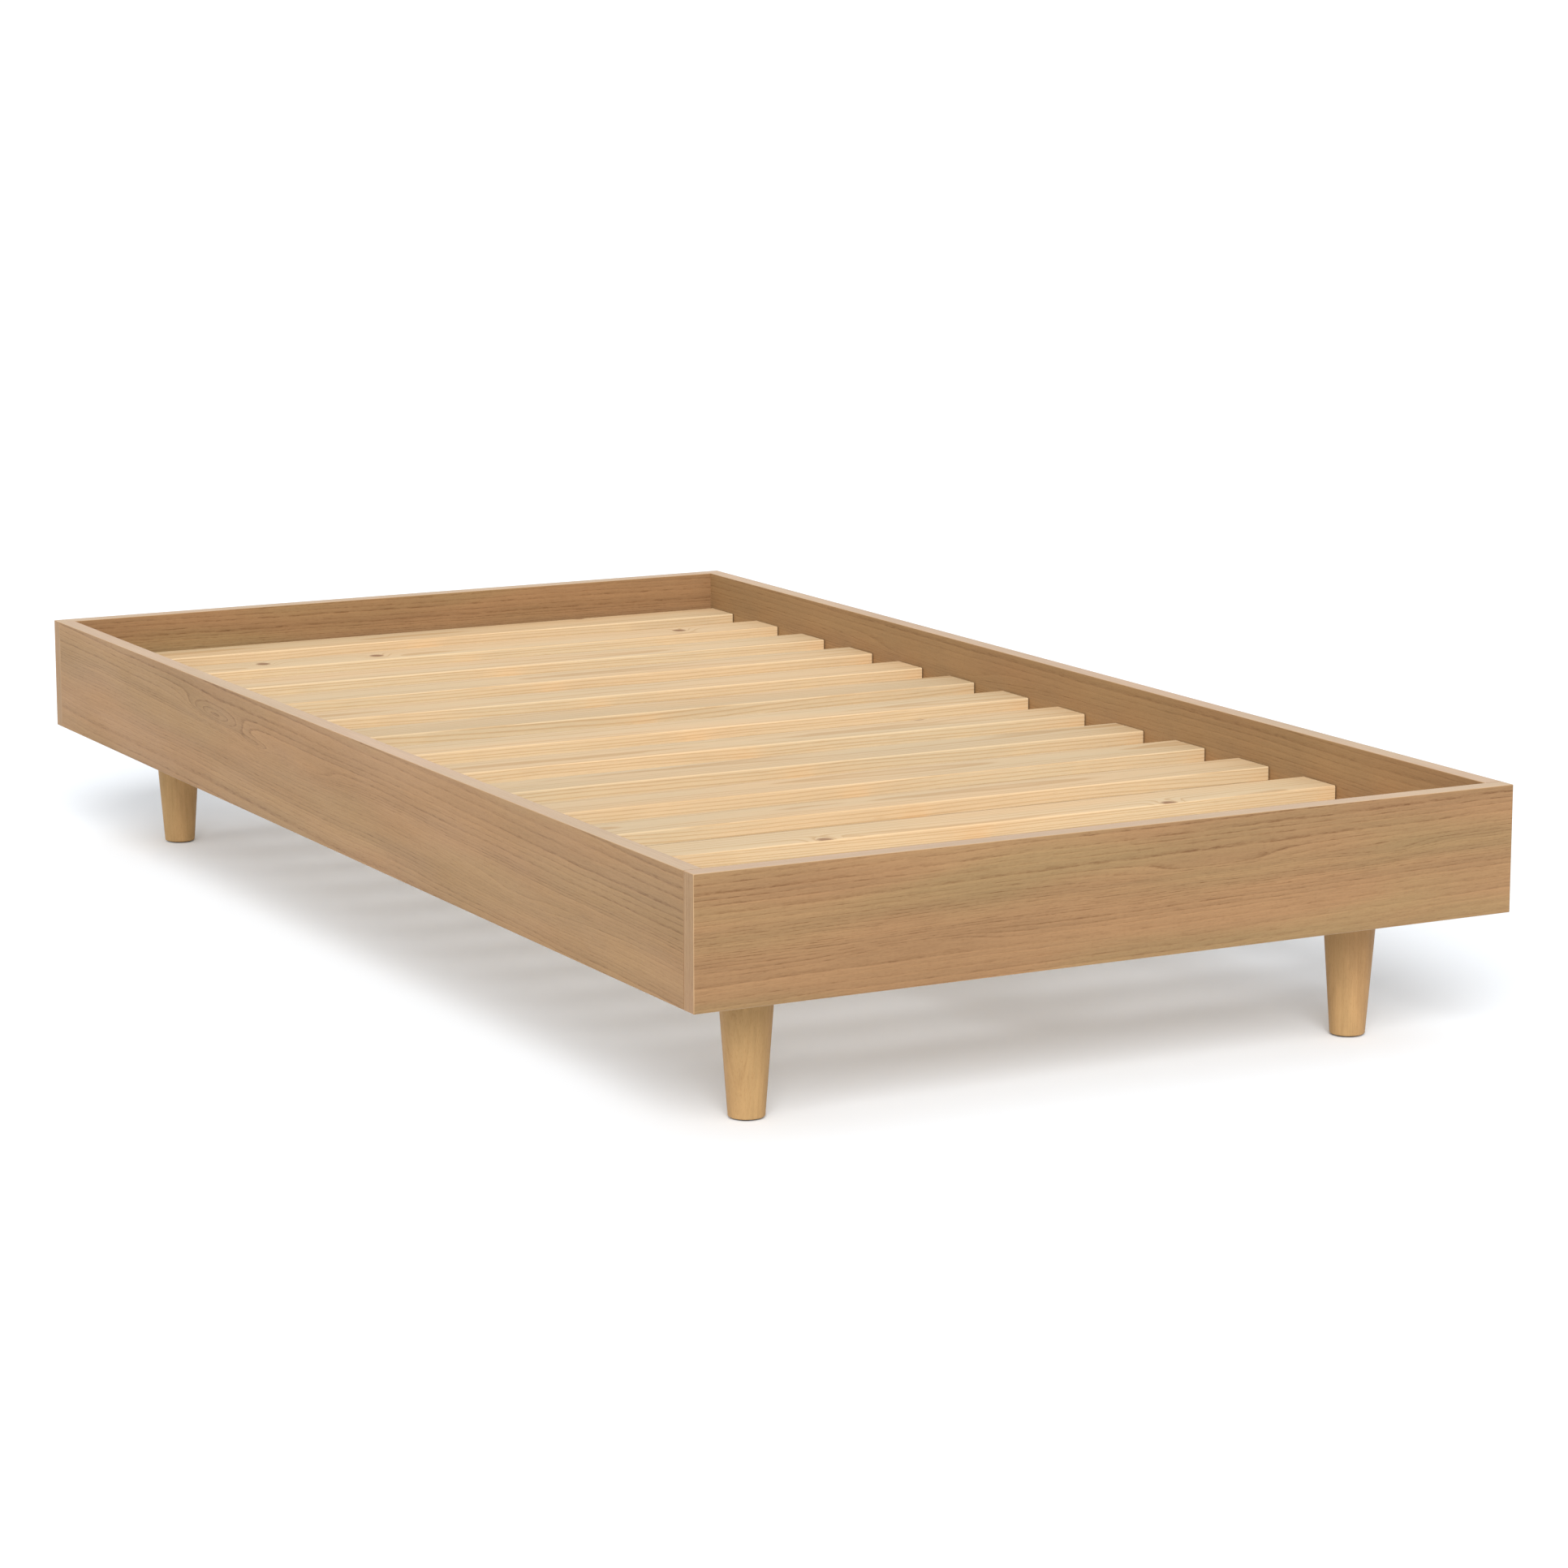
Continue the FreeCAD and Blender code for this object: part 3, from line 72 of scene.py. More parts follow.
class Net:
    """One node material. Its methods add nodes and return their output sockets."""

    def __init__(self, name):
        self.material = bpy.data.materials.new(name)
        self.material.use_nodes = True
        self.tree = self.material.node_tree
        self.tree.nodes.clear()
        self.shader = self.tree.nodes.new("ShaderNodeBsdfPrincipled")
        out = self.tree.nodes.new("ShaderNodeOutputMaterial")
        self.tree.links.new(self.shader.outputs[0], out.inputs["Surface"])
        place = self.tree.nodes.new("ShaderNodeTexCoord")
        split = self.tree.nodes.new("ShaderNodeSeparateXYZ")
        self.tree.links.new(place.outputs["Object"], split.inputs[0])
        self.x, self.y, self.z = split.outputs

    def feed(self, value, socket):
        if isinstance(value, bpy.types.NodeSocket):
            self.tree.links.new(value, socket)
        else:
            socket.default_value = value

    def math(self, operation, first, second=0.0, third=0.0):
        node = self.tree.nodes.new("ShaderNodeMath")
        node.operation = operation
        for value, socket in zip((first, second, third), node.inputs):
            self.feed(value, socket)
        return node.outputs[0]

    def add(self, *terms):
        total = terms[0]
        for term in terms[1:]:
            total = self.math("ADD", total, term)
        return total

    def times(self, *factors):
        product = factors[0]
        for factor in factors[1:]:
            product = self.math("MULTIPLY", product, factor)
        return product

    def less(self, first, second):
        return self.math("SUBTRACT", first, second)

    def most(self, first, *others):
        for other in others:
            first = self.math("MAXIMUM", first, other)
        return first

    def vector(self, x, y, z):
        node = self.tree.nodes.new("ShaderNodeCombineXYZ")
        for value, socket in zip((x, y, z), node.inputs):
            self.feed(value, socket)
        return node.outputs[0]

    def noise(self, x, y, z, seed=0.0, detail=2.0, rough=0.5):
        """Noise from 0 to 1 over coordinates that are already scaled. Most of it is within 0.3 to 0.7."""
        node = self.tree.nodes.new("ShaderNodeTexNoise")
        node.noise_dimensions = "4D"
        self.feed(self.vector(x, y, z), node.inputs["Vector"])
        self.feed(seed, node.inputs["W"])
        node.inputs["Scale"].default_value = 1.0
        node.inputs["Detail"].default_value = detail
        node.inputs["Roughness"].default_value = rough
        return node.outputs["Fac"]

    def grain_noise(self, place, scale, seed, detail=2.0, rough=0.5):
        """Noise over (along, across, through) with its own scale for each."""
        return self.noise(*(self.times(part, size) for part, size in zip(place, scale)), seed, detail, rough)

    def swing(self, amount, place, scale, seed, detail=2.0):
        """Noise about zero, from -amount / 2 to amount / 2."""
        return self.times(self.less(self.grain_noise(place, scale, seed, detail), 0.5), amount)

    def step(self, value, low, high, start=0.0, end=1.0):
        node = self.tree.nodes.new("ShaderNodeMapRange")
        node.interpolation_type = "SMOOTHSTEP"
        names = ("Value", "From Min", "From Max", "To Min", "To Max")
        for given, name in zip((value, low, high, start, end), names):
            self.feed(given, node.inputs[name])
        return node.outputs["Result"]

    def hill(self, place, centre, radii):
        """A rounded hill of height 1 at a place along and across the grain."""
        parts = []
        for part, at, radius in zip(place, centre, radii):
            away = self.times(self.less(part, at), 1 / radius)
            parts.append(self.times(away, away))
        return self.math("EXPONENT", self.times(self.add(*parts), -1.0))

    def mix(self, share, first, second, blend="MIX"):
        node = self.tree.nodes.new("ShaderNodeMix")
        node.data_type = "RGBA"
        node.blend_type = blend
        sockets = [socket for socket in node.inputs if socket.enabled]
        for value, socket in zip((share, first, second), sockets):
            self.feed(value, socket)
        return next(socket for socket in node.outputs if socket.enabled)

    def shaded(self, colour, shade):
        return self.mix(1.0, colour, self.vector(shade, shade, shade), "MULTIPLY")

    def normal_sizes(self):
        """Sizes of the three parts of the surface's normal."""
        geometry = self.tree.nodes.new("ShaderNodeNewGeometry")
        split = self.tree.nodes.new("ShaderNodeSeparateXYZ")
        self.tree.links.new(geometry.outputs["Normal"], split.inputs[0])
        return [self.math("ABSOLUTE", part) for part in split.outputs]

    def bump(self, height, distance, strength=1.0):
        node = self.tree.nodes.new("ShaderNodeBump")
        node.inputs["Distance"].default_value = distance
        node.inputs["Strength"].default_value = strength
        self.feed(height, node.inputs["Height"])
        return node.outputs[0]

    def finish(self, colour, roughness, normal=None, **settings):
        self.feed(colour, self.shader.inputs["Base Color"])
        self.feed(roughness, self.shader.inputs["Roughness"])
        if normal is not None:
            self.feed(normal, self.shader.inputs["Normal"])
        for name, value in settings.items():
            self.shader.inputs[name.replace("_", " ")].default_value = value
        return self.material


# ------------------------------------------------------------------ wood


def growth_lines(net, place, seed, spacing, slope=0.0, crowds=(), eyes=(), wander=0.014, wobble=0.0027):
    """Rings as they cross a face: the place within a ring, its number, and the swaying place across.

    Spacing is the width of a ring, and slope is the fall of the lines across the grain per unit along it.
    Crowds are (across, half width, rings): bands where the rings lie close.
    Eyes are (along, across, half length, half width, rings): closed or hooked figures.
    """
    along, across, through = place
    sway = net.swing(wander, place, (2.0, 7.0, 40.0), seed)
    shake = net.swing(wobble, place, (16.0, 60.0, 40.0), seed + 3.0, 3.0)
    line = net.add(across, net.times(along, slope), sway, shake)
    phase = net.times(line, 1 / spacing)
    for centre, half, rings in crowds:
        ramp = net.math("TANH", net.times(net.less(line, centre), 1 / half))
        phase = net.add(phase, net.times(ramp, rings / 2))
    for at, over, long, wide, rings in eyes:
        hill = net.hill((along, line), (at, over), (long, wide))
        phase = net.add(phase, net.times(hill, rings))
    uneven = net.noise(net.times(phase, 0.45), 0.0, 0.0, seed + 7.0, 1.0)
    phase = net.add(phase, net.times(uneven, 2.2))
    return net.math("FRACT", phase), net.math("FLOOR", phase), line


def oak(net, place, seed, palette, strength=1.0, dash=1.0, calm=(), **lines):
    """Colour and height of oak with its grain along the first coordinate.

    Calm is (from, to, least, most): how strong the dark lines are at two places across the grain.
    """
    along, across, through = place
    tan, pink, line, pore = palette
    turn, ring, sway = growth_lines(net, place, seed, **lines)
    flow = (along, sway, through)
    own = net.noise(net.times(ring, 3.7), 0.0, 0.0, seed + 11.0, 0.0)
    years = net.noise(net.times(ring, 0.29), net.times(along, 1.5), 0.0, seed + 13.0, 1.0)
    own = net.times(net.step(own, 0.3, 0.7, 0.45, 1.0), net.step(years, 0.36, 0.62, 0.55, 1.15))
    if calm:
        own = net.times(own, net.step(across, *calm))
    early = net.most(net.step(turn, 0.0, 0.34, 1.0, 0.0), net.step(turn, 0.90, 1.0))
    breaks = net.grain_noise(flow, (42.0, 280.0, 40.0), seed + 15.0, 3.0, 0.6)
    breaks = net.step(breaks, 0.40, 0.58, 1.0 - 0.80 * dash, 1.0)
    ragged = net.grain_noise(flow, (110.0, 900.0, 90.0), seed + 17.0, 2.0, 0.7)
    dark = net.times(early, own, breaks, net.step(ragged, 0.36, 0.62, 0.5, 1.15))
    vessels = net.grain_noise(flow, (60.0, 950.0, 950.0), seed + 20.0, 2.0, 0.6)
    vessels = net.times(net.step(vessels, 0.48, 0.68), net.step(dark, 0.0, 0.6, 0.30, 1.0))
    specks = net.grain_noise(flow, (170.0, 2000.0, 2000.0), seed + 24.0, 1.0)
    specks = net.step(specks, 0.53, 0.70)
    fibres = net.grain_noise(flow, (14.0, 480.0, 480.0), seed + 28.0, 3.0, 0.75)
    cloud = net.grain_noise(place, (3.5, 14.0, 14.0), seed + 33.0, 3.0, 0.6)
    tint = net.grain_noise(place, (2.1, 13.0, 13.0), seed + 37.0, 2.0)
    colour = net.mix(net.step(tint, 0.38, 0.62), tan, pink)
    colour = net.mix(net.times(dark, 0.80 * strength), colour, line)
    colour = net.mix(net.times(vessels, 0.50 * strength), colour, pore)
    colour = net.mix(net.times(specks, 0.26), colour, line)
    shade = net.times(net.step(fibres, 0.25, 0.75, 0.94, 1.06), net.step(cloud, 0.3, 0.7, 0.955, 1.035))
    shade = net.times(shade, net.step(years, 0.34, 0.66, 1.0 + 0.05 * strength, 1.0 - 0.07 * strength))
    late = net.step(turn, 0.5, 0.92, 1.0, 1.0 + 0.07 * strength)
    colour = net.shaded(colour, net.times(shade, late))
    height = net.less(net.times(fibres, 0.4), net.add(vessels, net.times(specks, 0.5)))
    return colour, height


# Each oak is two tones of the plain wood, the dark lines and the pores.
OAK_FACE = (srgb(141, 114, 78), srgb(145, 111, 77), srgb(107, 71, 40), srgb(88, 54, 29))
OAK_SIDE = (srgb(148, 117, 80), srgb(149, 115, 79), srgb(114, 80, 49), srgb(94, 62, 36))
OAK_BAND = (srgb(188, 164, 137), srgb(190, 163, 138), srgb(176, 147, 120), srgb(160, 129, 101))
OAK_END = (srgb(156, 126, 93), srgb(159, 123, 90), srgb(118, 85, 56), srgb(100, 68, 43))
OAK_LEG = (srgb(170, 138, 95), srgb(170, 134, 93), srgb(140, 103, 64), srgb(121, 85, 50))
# A paler oak, used as a painted highlight along the boards' rounded arrises.
OAK_ARRIS_HIGHLIGHT = srgb(172, 142, 108)


def veneered_board(name, lengthwise, seed, palette, strength=1.0, dash=1.0, **lines):
    """Veneered board: figured faces, straight-grained edge bands and tips, and a soft painted highlight
    along the arrises.
    """
    net = Net(name)
    along, through = (net.x, net.y) if lengthwise == "x" else (net.y, net.x)
    side_x, side_y, side_z = net.normal_sizes()
    tip_side = side_x if lengthwise == "x" else side_y
    face_place = (along, net.less(net.z, BOARD_MID), through)
    face, face_height = oak(net, face_place, seed, palette, strength, dash, **lines)
    band, band_height = oak(net, (along, through, net.z), seed + 50, OAK_BAND, 0.35, 0.5, spacing=0.0042)
    tip_place = (net.z, through, along)
    tip, tip_height = oak(net, tip_place, seed + 60, OAK_END, 0.8, 0.3, spacing=0.0032, wander=0.002)
    on_band = net.step(side_z, 0.62, 0.78)
    on_tip = net.step(tip_side, 0.62, 0.78)
    colour = net.mix(on_band, face, band)
    colour = net.mix(on_tip, colour, tip)
    # Painted highlight: the rounded arrises are mixed towards a paler oak, in noisy patches.
    arris = net.step(net.most(side_x, side_y, side_z), 0.97, 0.84)
    highlight_patches = net.grain_noise((net.x, net.y, net.z), (26.0, 26.0, 26.0), seed + 70, 3.0)
    arris = net.times(arris, net.step(highlight_patches, 0.35, 0.6, 0.35, 0.8))
    colour = net.mix(arris, colour, OAK_ARRIS_HIGHLIGHT)
    flat = net.less(1.0, net.most(on_band, on_tip))
    height = net.add(
        net.times(face_height, flat),
        net.times(band_height, on_band, 0.4),
        net.times(tip_height, on_tip, 0.6),
    )
    sheen = net.grain_noise(face_place, (5.0, 22.0, 22.0), seed + 80, 3.0)
    roughness = net.less(net.step(sheen, 0.3, 0.7, 0.50, 0.60), net.times(face_height, 0.05))
    return net.finish(colour, roughness, net.bump(height, 0.00010, 0.7), Specular_IOR_Level=0.20)


def turned_oak(name, seed):
    """Solid oak legs with upright grain. Each leg comes from another place in the wood."""
    net = Net(name)
    leg = middle("leg_foot_right")
    local_x = net.less(net.math("ABSOLUTE", net.x), leg[0])
    local_y = net.less(net.math("ABSOLUTE", net.y), abs(leg[1]))
    right = net.step(net.x, -0.01, 0.01, 0.0, 3.7)
    head = net.step(net.y, -0.01, 0.01, 0.0, 7.9)
    across = net.add(net.times(local_x, 0.8), net.times(local_y, 0.6))
    through = net.less(net.times(local_y, 0.8), net.times(local_x, 0.6))
    place = (net.add(net.z, right, head), across, net.times(through, 0.4))
    colour, height = oak(net, place, seed, OAK_LEG, 0.20, 0.5, spacing=0.0060, wander=0.008)
    mottle = net.grain_noise(place, (16.0, 90.0, 90.0), seed + 90, 3.0, 0.6)
    colour = net.shaded(colour, net.step(mottle, 0.32, 0.68, 0.93, 1.05))
    sheen = net.grain_noise(place, (8.0, 40.0, 40.0), seed + 80, 3.0)
    roughness = net.step(sheen, 0.3, 0.7, 0.42, 0.52)
    return net.finish(colour, roughness, net.bump(height, 0.00010, 0.6), Specular_IOR_Level=0.06)


# Pine is two tones of early wood, the late wood and the knots.
PINE = (srgb(202, 178, 142), srgb(204, 174, 135), srgb(178, 142, 98), srgb(120, 76, 42))
PINE_RING = 0.0038
KNOT_CELL = 0.22
KNOT_PULL = 0.020


def pine(net, place, seed, pith, knotty=1.0):
    """Colour and height of planed pine: rings round a pith, resin streaks and small knots.

    Pith is where the rings' middle runs: its place across, and its distance below zero in the third
    coordinate. Knotty is 1 where knots may show and 0 elsewhere.
    """
    along, across, through = place
    early, warm, late, knot = PINE
    knots = net.tree.nodes.new("ShaderNodeTexVoronoi")
    knots.voronoi_dimensions = "2D"
    size = 1 / KNOT_CELL
    net.feed(net.vector(net.times(along, size), net.times(across, size), 0.0), knots.inputs["Vector"])
    knots.inputs["Scale"].default_value = 1.0
    chosen = net.tree.nodes.new("ShaderNodeSeparateXYZ")
    net.feed(knots.outputs["Color"], chosen.inputs[0])
    far = net.times(knots.outputs["Distance"], KNOT_CELL)
    chosen = net.times(net.step(chosen.outputs[0], 0.62, 0.66), knotty)
    pull = net.math("EXPONENT", net.times(far, far, -1 / KNOT_PULL**2))
    sway = net.swing(0.030, place, (1.3, 2.0, 2.0), seed)
    shake = net.swing(0.0020, place, (9.0, 60.0, 60.0), seed + 3.0, 3.0)
    aside = net.add(net.less(across, pith[0]), sway)
    below = net.add(through, pith[1], net.swing(0.024, place, (1.0, 2.0, 2.0), seed + 5.0))
    radius = net.math("SQRT", net.add(net.times(aside, aside), net.times(below, below)))
    radius = net.add(radius, shake, net.times(pull, chosen, 0.008))
    uneven = net.noise(net.times(radius, 130.0), 0.0, 0.0, seed + 7.0, 2.0)
    turn = net.math("FRACT", net.add(net.times(radius, 1 / PINE_RING), net.times(uneven, 2.0)))
    ring = net.times(net.step(turn, 0.45, 0.92), net.step(turn, 0.94, 1.0, 1.0, 0.0))
    fibres = net.grain_noise(place, (12.0, 600.0, 600.0), seed + 11.0, 3.0, 0.7)
    resin = net.grain_noise(place, (30.0, 900.0, 900.0), seed + 13.0, 1.0)
    resin = net.times(net.step(resin, 0.64, 0.74), 0.35)
    cloud = net.grain_noise(place, (2.0, 12.0, 12.0), seed + 17.0, 3.0)
    colour = net.mix(net.step(cloud, 0.35, 0.65), early, warm)
    colour = net.mix(net.times(ring, 0.62), colour, late)
    colour = net.mix(resin, colour, late)
    rim = net.times(net.step(far, 0.0060, 0.0078), net.step(far, 0.0078, 0.0120, 1.0, 0.0))
    core = net.step(far, 0.0066, 0.0082, 1.0, 0.0)
    colour = net.mix(net.times(net.most(core, net.times(rim, 0.8)), chosen, 0.8), colour, knot)
    shade = net.times(net.step(fibres, 0.25, 0.75, 0.95, 1.04), net.step(cloud, 0.3, 0.7, 0.97, 1.03))
    height = net.add(net.times(fibres, 0.5), net.times(ring, 0.3), net.times(resin, -0.5))
    return net.shaded(colour, shade), height


def pine_piece(name, lengthwise, seed, pith):
    """Planed pine batten, beam, block or post with its grain along one axis."""
    net = Net(name)
    turns = {"x": (net.x, net.y, net.z), "y": (net.y, net.x, net.z), "z": (net.z, net.x, net.y)}
    place = turns[lengthwise]
    colour, height = pine(net, place, seed, pith)
    roughness = net.step(net.grain_noise(place, (6.0, 40.0, 40.0), seed + 21.0, 3.0), 0.3, 0.7, 0.58, 0.68)
    return net.finish(colour, roughness, net.bump(height, 0.00012, 0.7), Specular_IOR_Level=0.25)


def slat_pine():
    """Pine slats. Each slat is cut from another place in the wood and has a slightly different tone."""
    net = Net("pine_slats")
    first, second = middle(SLATS[0]), middle(SLATS[1])
    pitch = second[1] - first[1]
    count = net.math("FLOOR", net.add(net.times(net.less(net.y, first[1]), 1 / pitch), 0.5))
    own = net.noise(net.times(count, 4.3), 0.0, 0.0, 3.0, 0.0)
    along = net.add(net.x, net.times(count, 13.7))
    across = net.less(net.less(net.y, first[1]), net.times(count, pitch))
    across = net.add(across, net.times(net.less(own, 0.5), 0.16))
    place = (along, across, net.less(net.z, first[2]))
    side_x, side_y, side_z = net.normal_sizes()
    colour, height = pine(net, place, 61.0, (0.0, 0.055), knotty=net.step(side_z, 0.5, 0.9))
    colour = net.shaded(colour, net.step(own, 0.25, 0.75, 0.93, 1.05))
    # Painted highlight: the slats' rounded arrises are mixed towards a paler pine.
    arris = net.step(net.most(side_x, side_y, side_z), 0.97, 0.85, 0.0, 0.25)
    colour = net.mix(arris, colour, srgb(214, 190, 154))
    roughness = net.step(net.grain_noise(place, (6.0, 40.0, 40.0), 82.0, 3.0), 0.3, 0.7, 0.56, 0.66)
    return net.finish(colour, roughness, net.bump(height, 0.00012, 0.7), Specular_IOR_Level=0.25)


PLY_THICK = 0.0021


def birch_plywood():
    """Corner boards: pale rotary-cut faces and edges of thin crossed plies."""
    net = Net("birch_plywood")
    place = (net.x, net.y, net.z)
    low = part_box("leg_board_foot_left")[0][2]
    layer = net.times(net.less(net.z, low), 1 / PLY_THICK)
    crossed = net.math("FRACT", net.times(net.math("FLOOR", layer), 0.5))
    glue = net.step(net.math("PINGPONG", layer, 0.5), 0.0, 0.10, 1.0, 0.0)
    ends = net.grain_noise(place, (500.0, 500.0, 60.0), 3.0, 2.0, 0.7)
    edge = net.mix(net.times(crossed, 1.6), srgb(196, 168, 128), srgb(158, 122, 82))
    edge = net.mix(net.times(net.step(ends, 0.5, 0.7), 0.35), edge, srgb(132, 98, 62))
    edge = net.mix(net.times(glue, 0.6), edge, srgb(104, 74, 48))
    figure = net.grain_noise(place, (7.0, 30.0, 1.0), 8.0, 3.0, 0.55)
    waves = net.math("SINE", net.times(figure, 60.0))
    fibres = net.grain_noise(place, (14.0, 520.0, 30.0), 12.0, 3.0, 0.7)
    face = net.mix(net.step(figure, 0.35, 0.65), srgb(200, 172, 132), srgb(196, 162, 120))
    face = net.mix(net.step(waves, 0.5, 1.0, 0.0, 0.25), face, srgb(172, 136, 94))
    face = net.shaded(face, net.step(fibres, 0.25, 0.75, 0.94, 1.04))
    colour = net.mix(net.step(net.normal_sizes()[2], 0.6, 0.8), edge, face)
    height = net.add(net.times(fibres, 0.5), net.times(glue, -0.6))
    roughness = net.step(fibres, 0.3, 0.7, 0.52, 0.64)
    return net.finish(colour, roughness, net.bump(height, 0.00012, 0.7), Specular_IOR_Level=0.25)


def beech():
    net = Net("beech")
    place = (net.y, net.x, net.z)
    flecks = net.grain_noise(place, (160.0, 1400.0, 1400.0), 4.0, 1.0)
    fibres = net.grain_noise(place, (20.0, 500.0, 500.0), 7.0, 3.0, 0.7)
    colour = net.mix(net.step(fibres, 0.3, 0.7), srgb(196, 152, 112), srgb(184, 138, 98))
    colour = net.mix(net.times(net.step(flecks, 0.58, 0.7), 0.6), colour, srgb(142, 94, 60))
    return net.finish(colour, net.step(fibres, 0.3, 0.7, 0.5, 0.62), net.bump(fibres, 0.0001, 0.6))


# ------------------------------------------------------------------ metal, plastic and webbing


def zinc_steel():
    """Zinc-plated steel: faint spangle, fine scratches and duller patches."""
    net = Net("zinc_steel")
    place = (net.x, net.y, net.z)
    spangle = net.tree.nodes.new("ShaderNodeTexVoronoi")
    net.feed(net.vector(*(net.times(part, 420.0) for part in place)), spangle.inputs["Vector"])
    spangle.inputs["Scale"].default_value = 1.0
    crystal = net.tree.nodes.new("ShaderNodeSeparateXYZ")
    net.feed(spangle.outputs["Color"], crystal.inputs[0])
    patches = net.grain_noise(place, (60.0, 60.0, 60.0), 5.0, 4.0, 0.6)
    scratches = net.grain_noise(place, (1800.0, 90.0, 1800.0), 9.0, 2.0, 0.6)
    tone = net.add(net.times(crystal.outputs[0], 0.25), net.times(patches, 0.9))
    colour = net.mix(net.step(tone, 0.3, 0.85), srgb(168, 172, 176), srgb(204, 206, 206))
    scratched = net.times(net.step(scratches, 0.6, 0.75), 0.12)
    roughness = net.add(net.step(patches, 0.3, 0.7, 0.30, 0.46), scratched)
    return net.finish(colour, roughness, net.bump(scratches, 0.00004, 0.4), Metallic=0.95)


def moulded_nylon(name, light, dark, seed):
    """Moulded nylon: fine pitted skin with slightly paler scuffs."""
    net = Net(name)
    place = (net.x, net.y, net.z)
    pits = net.grain_noise(place, (1500.0, 1500.0, 1500.0), seed, 2.0)
    scuffs = net.grain_noise(place, (90.0, 90.0, 90.0), seed + 4.0, 4.0, 0.65)
    colour = net.mix(net.step(scuffs, 0.45, 0.75), dark, light)
    colour = net.shaded(colour, net.step(pits, 0.3, 0.7, 0.94, 1.05))
    roughness = net.step(scuffs, 0.35, 0.7, 0.46, 0.62)
    return net.finish(colour, roughness, net.bump(pits, 0.00005, 0.5), Specular_IOR_Level=0.4)


# The width of a yarn, how far a tape hangs between two slats, and its mesh's steps lengthwise.
YARN = 0.0013
TAPE_HANG = 0.0028
TAPE_STEPS = 360


def webbing():
    """Plain-woven polyester tape: over and under yarns, with painted shade in the gaps between them."""
    net = Net("webbing")
    place = (net.x, net.y, net.z)
    drift = net.swing(0.25, place, (70.0, 70.0, 70.0), 3.0)
    warp = net.add(net.times(net.x, math.pi / YARN), drift)
    weft = net.add(net.times(net.y, math.pi / YARN), drift)
    warp_round = net.math("ABSOLUTE", net.math("SINE", warp))
    weft_round = net.math("ABSOLUTE", net.math("SINE", weft))
    warp_count = net.math("FLOOR", net.times(warp, 1 / math.pi))
    weft_count = net.math("FLOOR", net.times(weft, 1 / math.pi))
    both = net.add(warp_count, weft_count)
    over = net.step(net.math("FRACT", net.times(both, 0.5)), 0.2, 0.3)
    yarn = net.add(net.times(over, warp_round), net.times(net.less(1.0, over), weft_round))
    fluff = net.grain_noise(place, (900.0, 900.0, 900.0), 7.0, 3.0, 0.7)
    soil = net.grain_noise(place, (24.0, 24.0, 24.0), 11.0, 3.0)
    # Painted shade: the colour darkens towards the edges of each yarn and in the gaps between yarns.
    colour = net.mix(net.step(yarn, 0.15, 0.8), srgb(150, 146, 136), srgb(226, 222, 212))
    shade = net.times(net.step(fluff, 0.3, 0.7, 0.92, 1.04), net.step(soil, 0.3, 0.7, 0.95, 1.02))
    colour = net.shaded(colour, shade)
    height = net.add(yarn, net.times(fluff, 0.3))
    return net.finish(colour, 0.85, net.bump(height, 0.0003, 0.8), Sheen_Weight=0.15, Sheen_Roughness=0.5)


def tape_sag(y, slat_boxes):
    """How far the tape hangs at y: nothing under a slat, most midway between two slats."""
    for (_, before), (after, _) in zip(slat_boxes, slat_boxes[1:]):
        if before[1] < y < after[1]:
            share = (y - before[1]) / (after[1] - before[1])
            return TAPE_HANG * math.sin(math.pi * share) ** 2
    return 0.0


def tape(name, node, material):
    """Woven tape under the slats: thin rounded selvedges, and a slight sag between the slats."""
    low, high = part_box(node)
    slat_boxes = [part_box(slat) for slat in SLATS]
    half, thick = (high[0] - low[0]) / 2, high[2] - low[2]
    centre_x, top = (low[0] + high[0]) / 2, high[2]
    columns = [(-1.0, 0.30), (-0.975, 0.85), (-0.92, 1.0), (-0.5, 1.0), (0.0, 1.0)]
    columns += [(-share, tall) for share, tall in reversed(columns[:-1])]
    section = [(share * half, -(1 - tall) * thick / 2) for share, tall in columns]
    section += [(share * half, -(1 + tall) * thick / 2) for share, tall in reversed(columns)]
    verts = []
    for step in range(TAPE_STEPS + 1):
        y = low[1] + (high[1] - low[1]) * step / TAPE_STEPS
        hang = tape_sag(y, slat_boxes)
        verts += [(centre_x + x, y, top + z - hang) for x, z in section]
    size = len(section)
    faces = []
    for step in range(TAPE_STEPS):
        start = step * size
        for side in range(size):
            after = (side + 1) % size
            faces.append((start + side, start + size + side, start + size + after, start + after))
    faces.append(tuple(range(size)))
    faces.append(tuple(reversed(range(TAPE_STEPS * size, TAPE_STEPS * size + size))))
    mesh = bpy.data.meshes.new(name)
    mesh.from_pydata(verts, [], faces)
    mesh.polygons.foreach_set("use_smooth", [True] * len(faces))
    mesh.materials.append(material)
    mesh.update()
    piece = bpy.data.objects.new(name, mesh)
    bpy.context.scene.collection.objects.link(piece)
    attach(piece, "root")
    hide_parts(node)


# ------------------------------------------------------------------ camera, floor and light


# The camera's place in metres, its turn to the right of +Y and its tilt down in degrees, and its lens in mm.
CAMERA_PLACE = (-2.6342, -5.1052, 1.2809)
CAMERA_TURN, CAMERA_TILT = 28.271, 10.761
LENS, SENSOR = 104.5, 36.0
FLOOR_HALF, FLOOR_TOP = 120.0, -0.0002
# Name, strength, width in degrees, degrees from straight down, and turn to the right of +Y.
LIGHTS = (("key", 2.9, 32, 57, 27), ("fill", 0.5, 40, 80, 75))
SKY_STRENGTH = 0.8


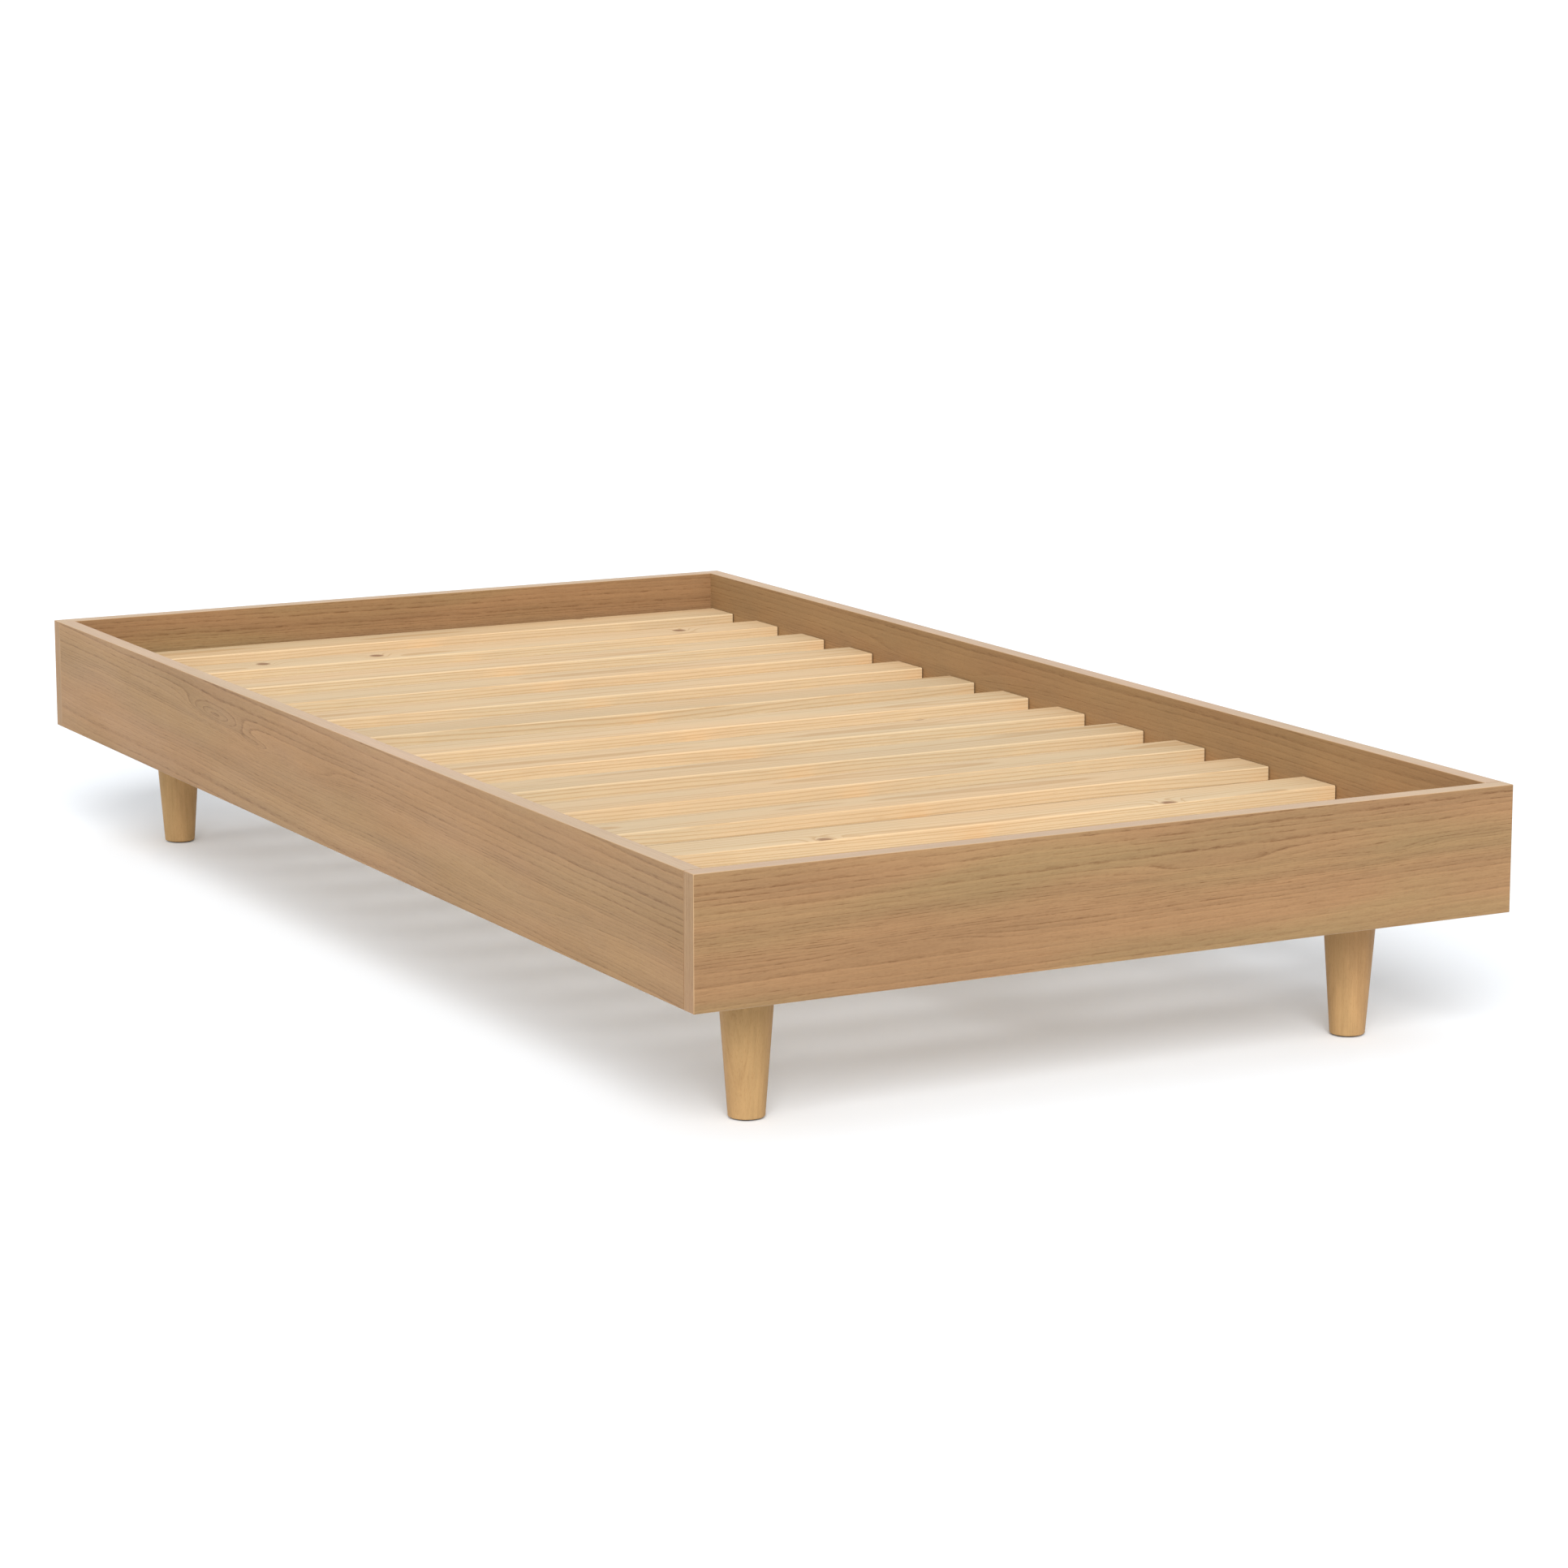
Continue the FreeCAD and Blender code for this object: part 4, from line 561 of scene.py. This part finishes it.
def place_camera():
    data = bpy.data.cameras.new("photo_camera")
    data.lens = LENS
    data.sensor_width = SENSOR
    data.clip_end = 4 * FLOOR_HALF
    camera = bpy.data.objects.new("photo_camera", data)
    bpy.context.scene.collection.objects.link(camera)
    camera.location = CAMERA_PLACE
    camera.rotation_euler = (math.radians(90 - CAMERA_TILT), 0.0, math.radians(-CAMERA_TURN))
    bpy.context.scene.camera = camera


def pale_floor():
    mesh = bpy.data.meshes.new("floor")
    corners = [(-1, -1), (1, -1), (1, 1), (-1, 1)]
    verts = [(x * FLOOR_HALF, y * FLOOR_HALF, FLOOR_TOP) for x, y in corners]
    mesh.from_pydata(verts, [], [(0, 1, 2, 3)])
    floor = bpy.data.objects.new("floor", mesh)
    bpy.context.scene.collection.objects.link(floor)
    net = Net("pale_floor")
    net.finish((0.86, 0.893, 0.93, 1.0), 0.9, Specular_IOR_Level=0.0)
    mesh.materials.append(net.material)


def studio_light():
    """Soft white light from all round, a wide one from behind the camera and a weak one from the left."""
    scene = bpy.context.scene
    scene.view_settings.view_transform = "Standard"
    scene.world = bpy.data.worlds.new("studio")
    scene.world.use_nodes = True
    sky = scene.world.node_tree.nodes["Background"]
    sky.inputs["Color"].default_value = (1.0, 1.0, 1.0, 1.0)
    sky.inputs["Strength"].default_value = SKY_STRENGTH
    for name, energy, angle, from_zenith, turn_right in LIGHTS:
        light = bpy.data.lights.new(name, "SUN")
        light.energy = energy
        light.angle = math.radians(angle)
        lamp = bpy.data.objects.new(name, light)
        lamp.rotation_euler = (math.radians(from_zenith), 0.0, math.radians(-turn_right))
        scene.collection.objects.link(lamp)


place_camera()
pale_floor()
studio_light()

# Rings of the boards' outer faces. Places along are in the bed's frame, places across are from mid-height.
FOOT_LINES = dict(
    spacing=0.0088,
    slope=-0.016,
    crowds=((0.000, 0.022, 10.0),),
    eyes=(
        (0.12, 0.018, 0.14, 0.009, 2.4),
        (0.35, 0.008, 0.07, 0.007, 2.0),
        (-0.26, -0.024, 0.10, 0.008, -1.8),
    ),
    calm=(-0.052, -0.020, 0.5, 1.0),
)
HEAD_LINES = dict(
    spacing=0.0080,
    slope=0.010,
    crowds=((0.02, 0.02, 6.0),),
    eyes=((-0.1, -0.02, 0.2, 0.014, 3.0),),
)
LEFT_LINES = dict(
    spacing=0.0130,
    slope=-0.024,
    crowds=((0.006, 0.024, 8.0), (-0.040, 0.015, 4.0)),
    eyes=(
        (0.37, 0.026, 0.090, 0.0120, 5.0),
        (0.24, 0.012, 0.080, 0.0100, 4.6),
        (0.06, 0.016, 0.100, 0.0090, 3.0),
        (-0.55, -0.020, 0.160, 0.0140, 2.4),
    ),
    calm=(-0.010, 0.030, 0.75, 1.0),
    wander=0.020,
)
RIGHT_LINES = dict(
    spacing=0.0095,
    slope=-0.008,
    crowds=((0.01, 0.02, 6.0),),
    eyes=((0.3, 0.03, 0.2, 0.014, 3.0),),
)

SLOT_LOOKS = {
    "oak_solid": turned_oak("oak_legs", 5.0),
    "slat_pine": slat_pine(),
    "birch_plywood": birch_plywood(),
    "beech": beech(),
    "zinc_steel": zinc_steel(),
    "glide_nylon": moulded_nylon("glide_nylon", srgb(84, 74, 66), srgb(58, 50, 44), 2.0),
    "black_nylon": moulded_nylon("black_nylon", srgb(52, 52, 53), srgb(34, 34, 35), 6.0),
    "webbing": webbing(),
}
upright = pine_piece("pine_upright", "z", 21.0, (0.31, 0.10))
lengthwise = pine_piece("pine_lengthwise", "y", 24.0, (0.03, 0.02))
crosswise = pine_piece("pine_crosswise", "x", 27.0, (0.05, 0.02))
NODE_LOOKS = {
    "foot_panel": veneered_board("oak_foot", "x", 2.0, OAK_FACE, 1.0, **FOOT_LINES),
    "head_panel": veneered_board("oak_head", "x", 14.0, OAK_FACE, 1.0, **HEAD_LINES),
    "side_rail_left": veneered_board("oak_left", "y", 31.0, OAK_SIDE, 0.9, 0.5, **LEFT_LINES),
    "side_rail_right": veneered_board("oak_right", "y", 47.0, OAK_SIDE, 0.7, 0.6, **RIGHT_LINES),
    "side_ledger_left": lengthwise,
    "side_ledger_right": lengthwise,
    "centre_beam": lengthwise,
    "end_ledger_foot": crosswise,
    "end_ledger_head": crosswise,
    "centre_leg": upright,
    "corner_block_foot_left": upright,
    "corner_block_foot_right": upright,
    "corner_block_head_left": upright,
    "corner_block_head_right": upright,
}
for part in frame["record"]["subparts"]:
    mesh = nodes[part["node"]].data
    mesh.materials.clear()
    mesh.materials.append(NODE_LOOKS.get(part["node"]) or SLOT_LOOKS[part["material_slot"]])

tape("tape_left", "strap_left", SLOT_LOOKS["webbing"])
tape("tape_right", "strap_right", SLOT_LOOKS["webbing"])
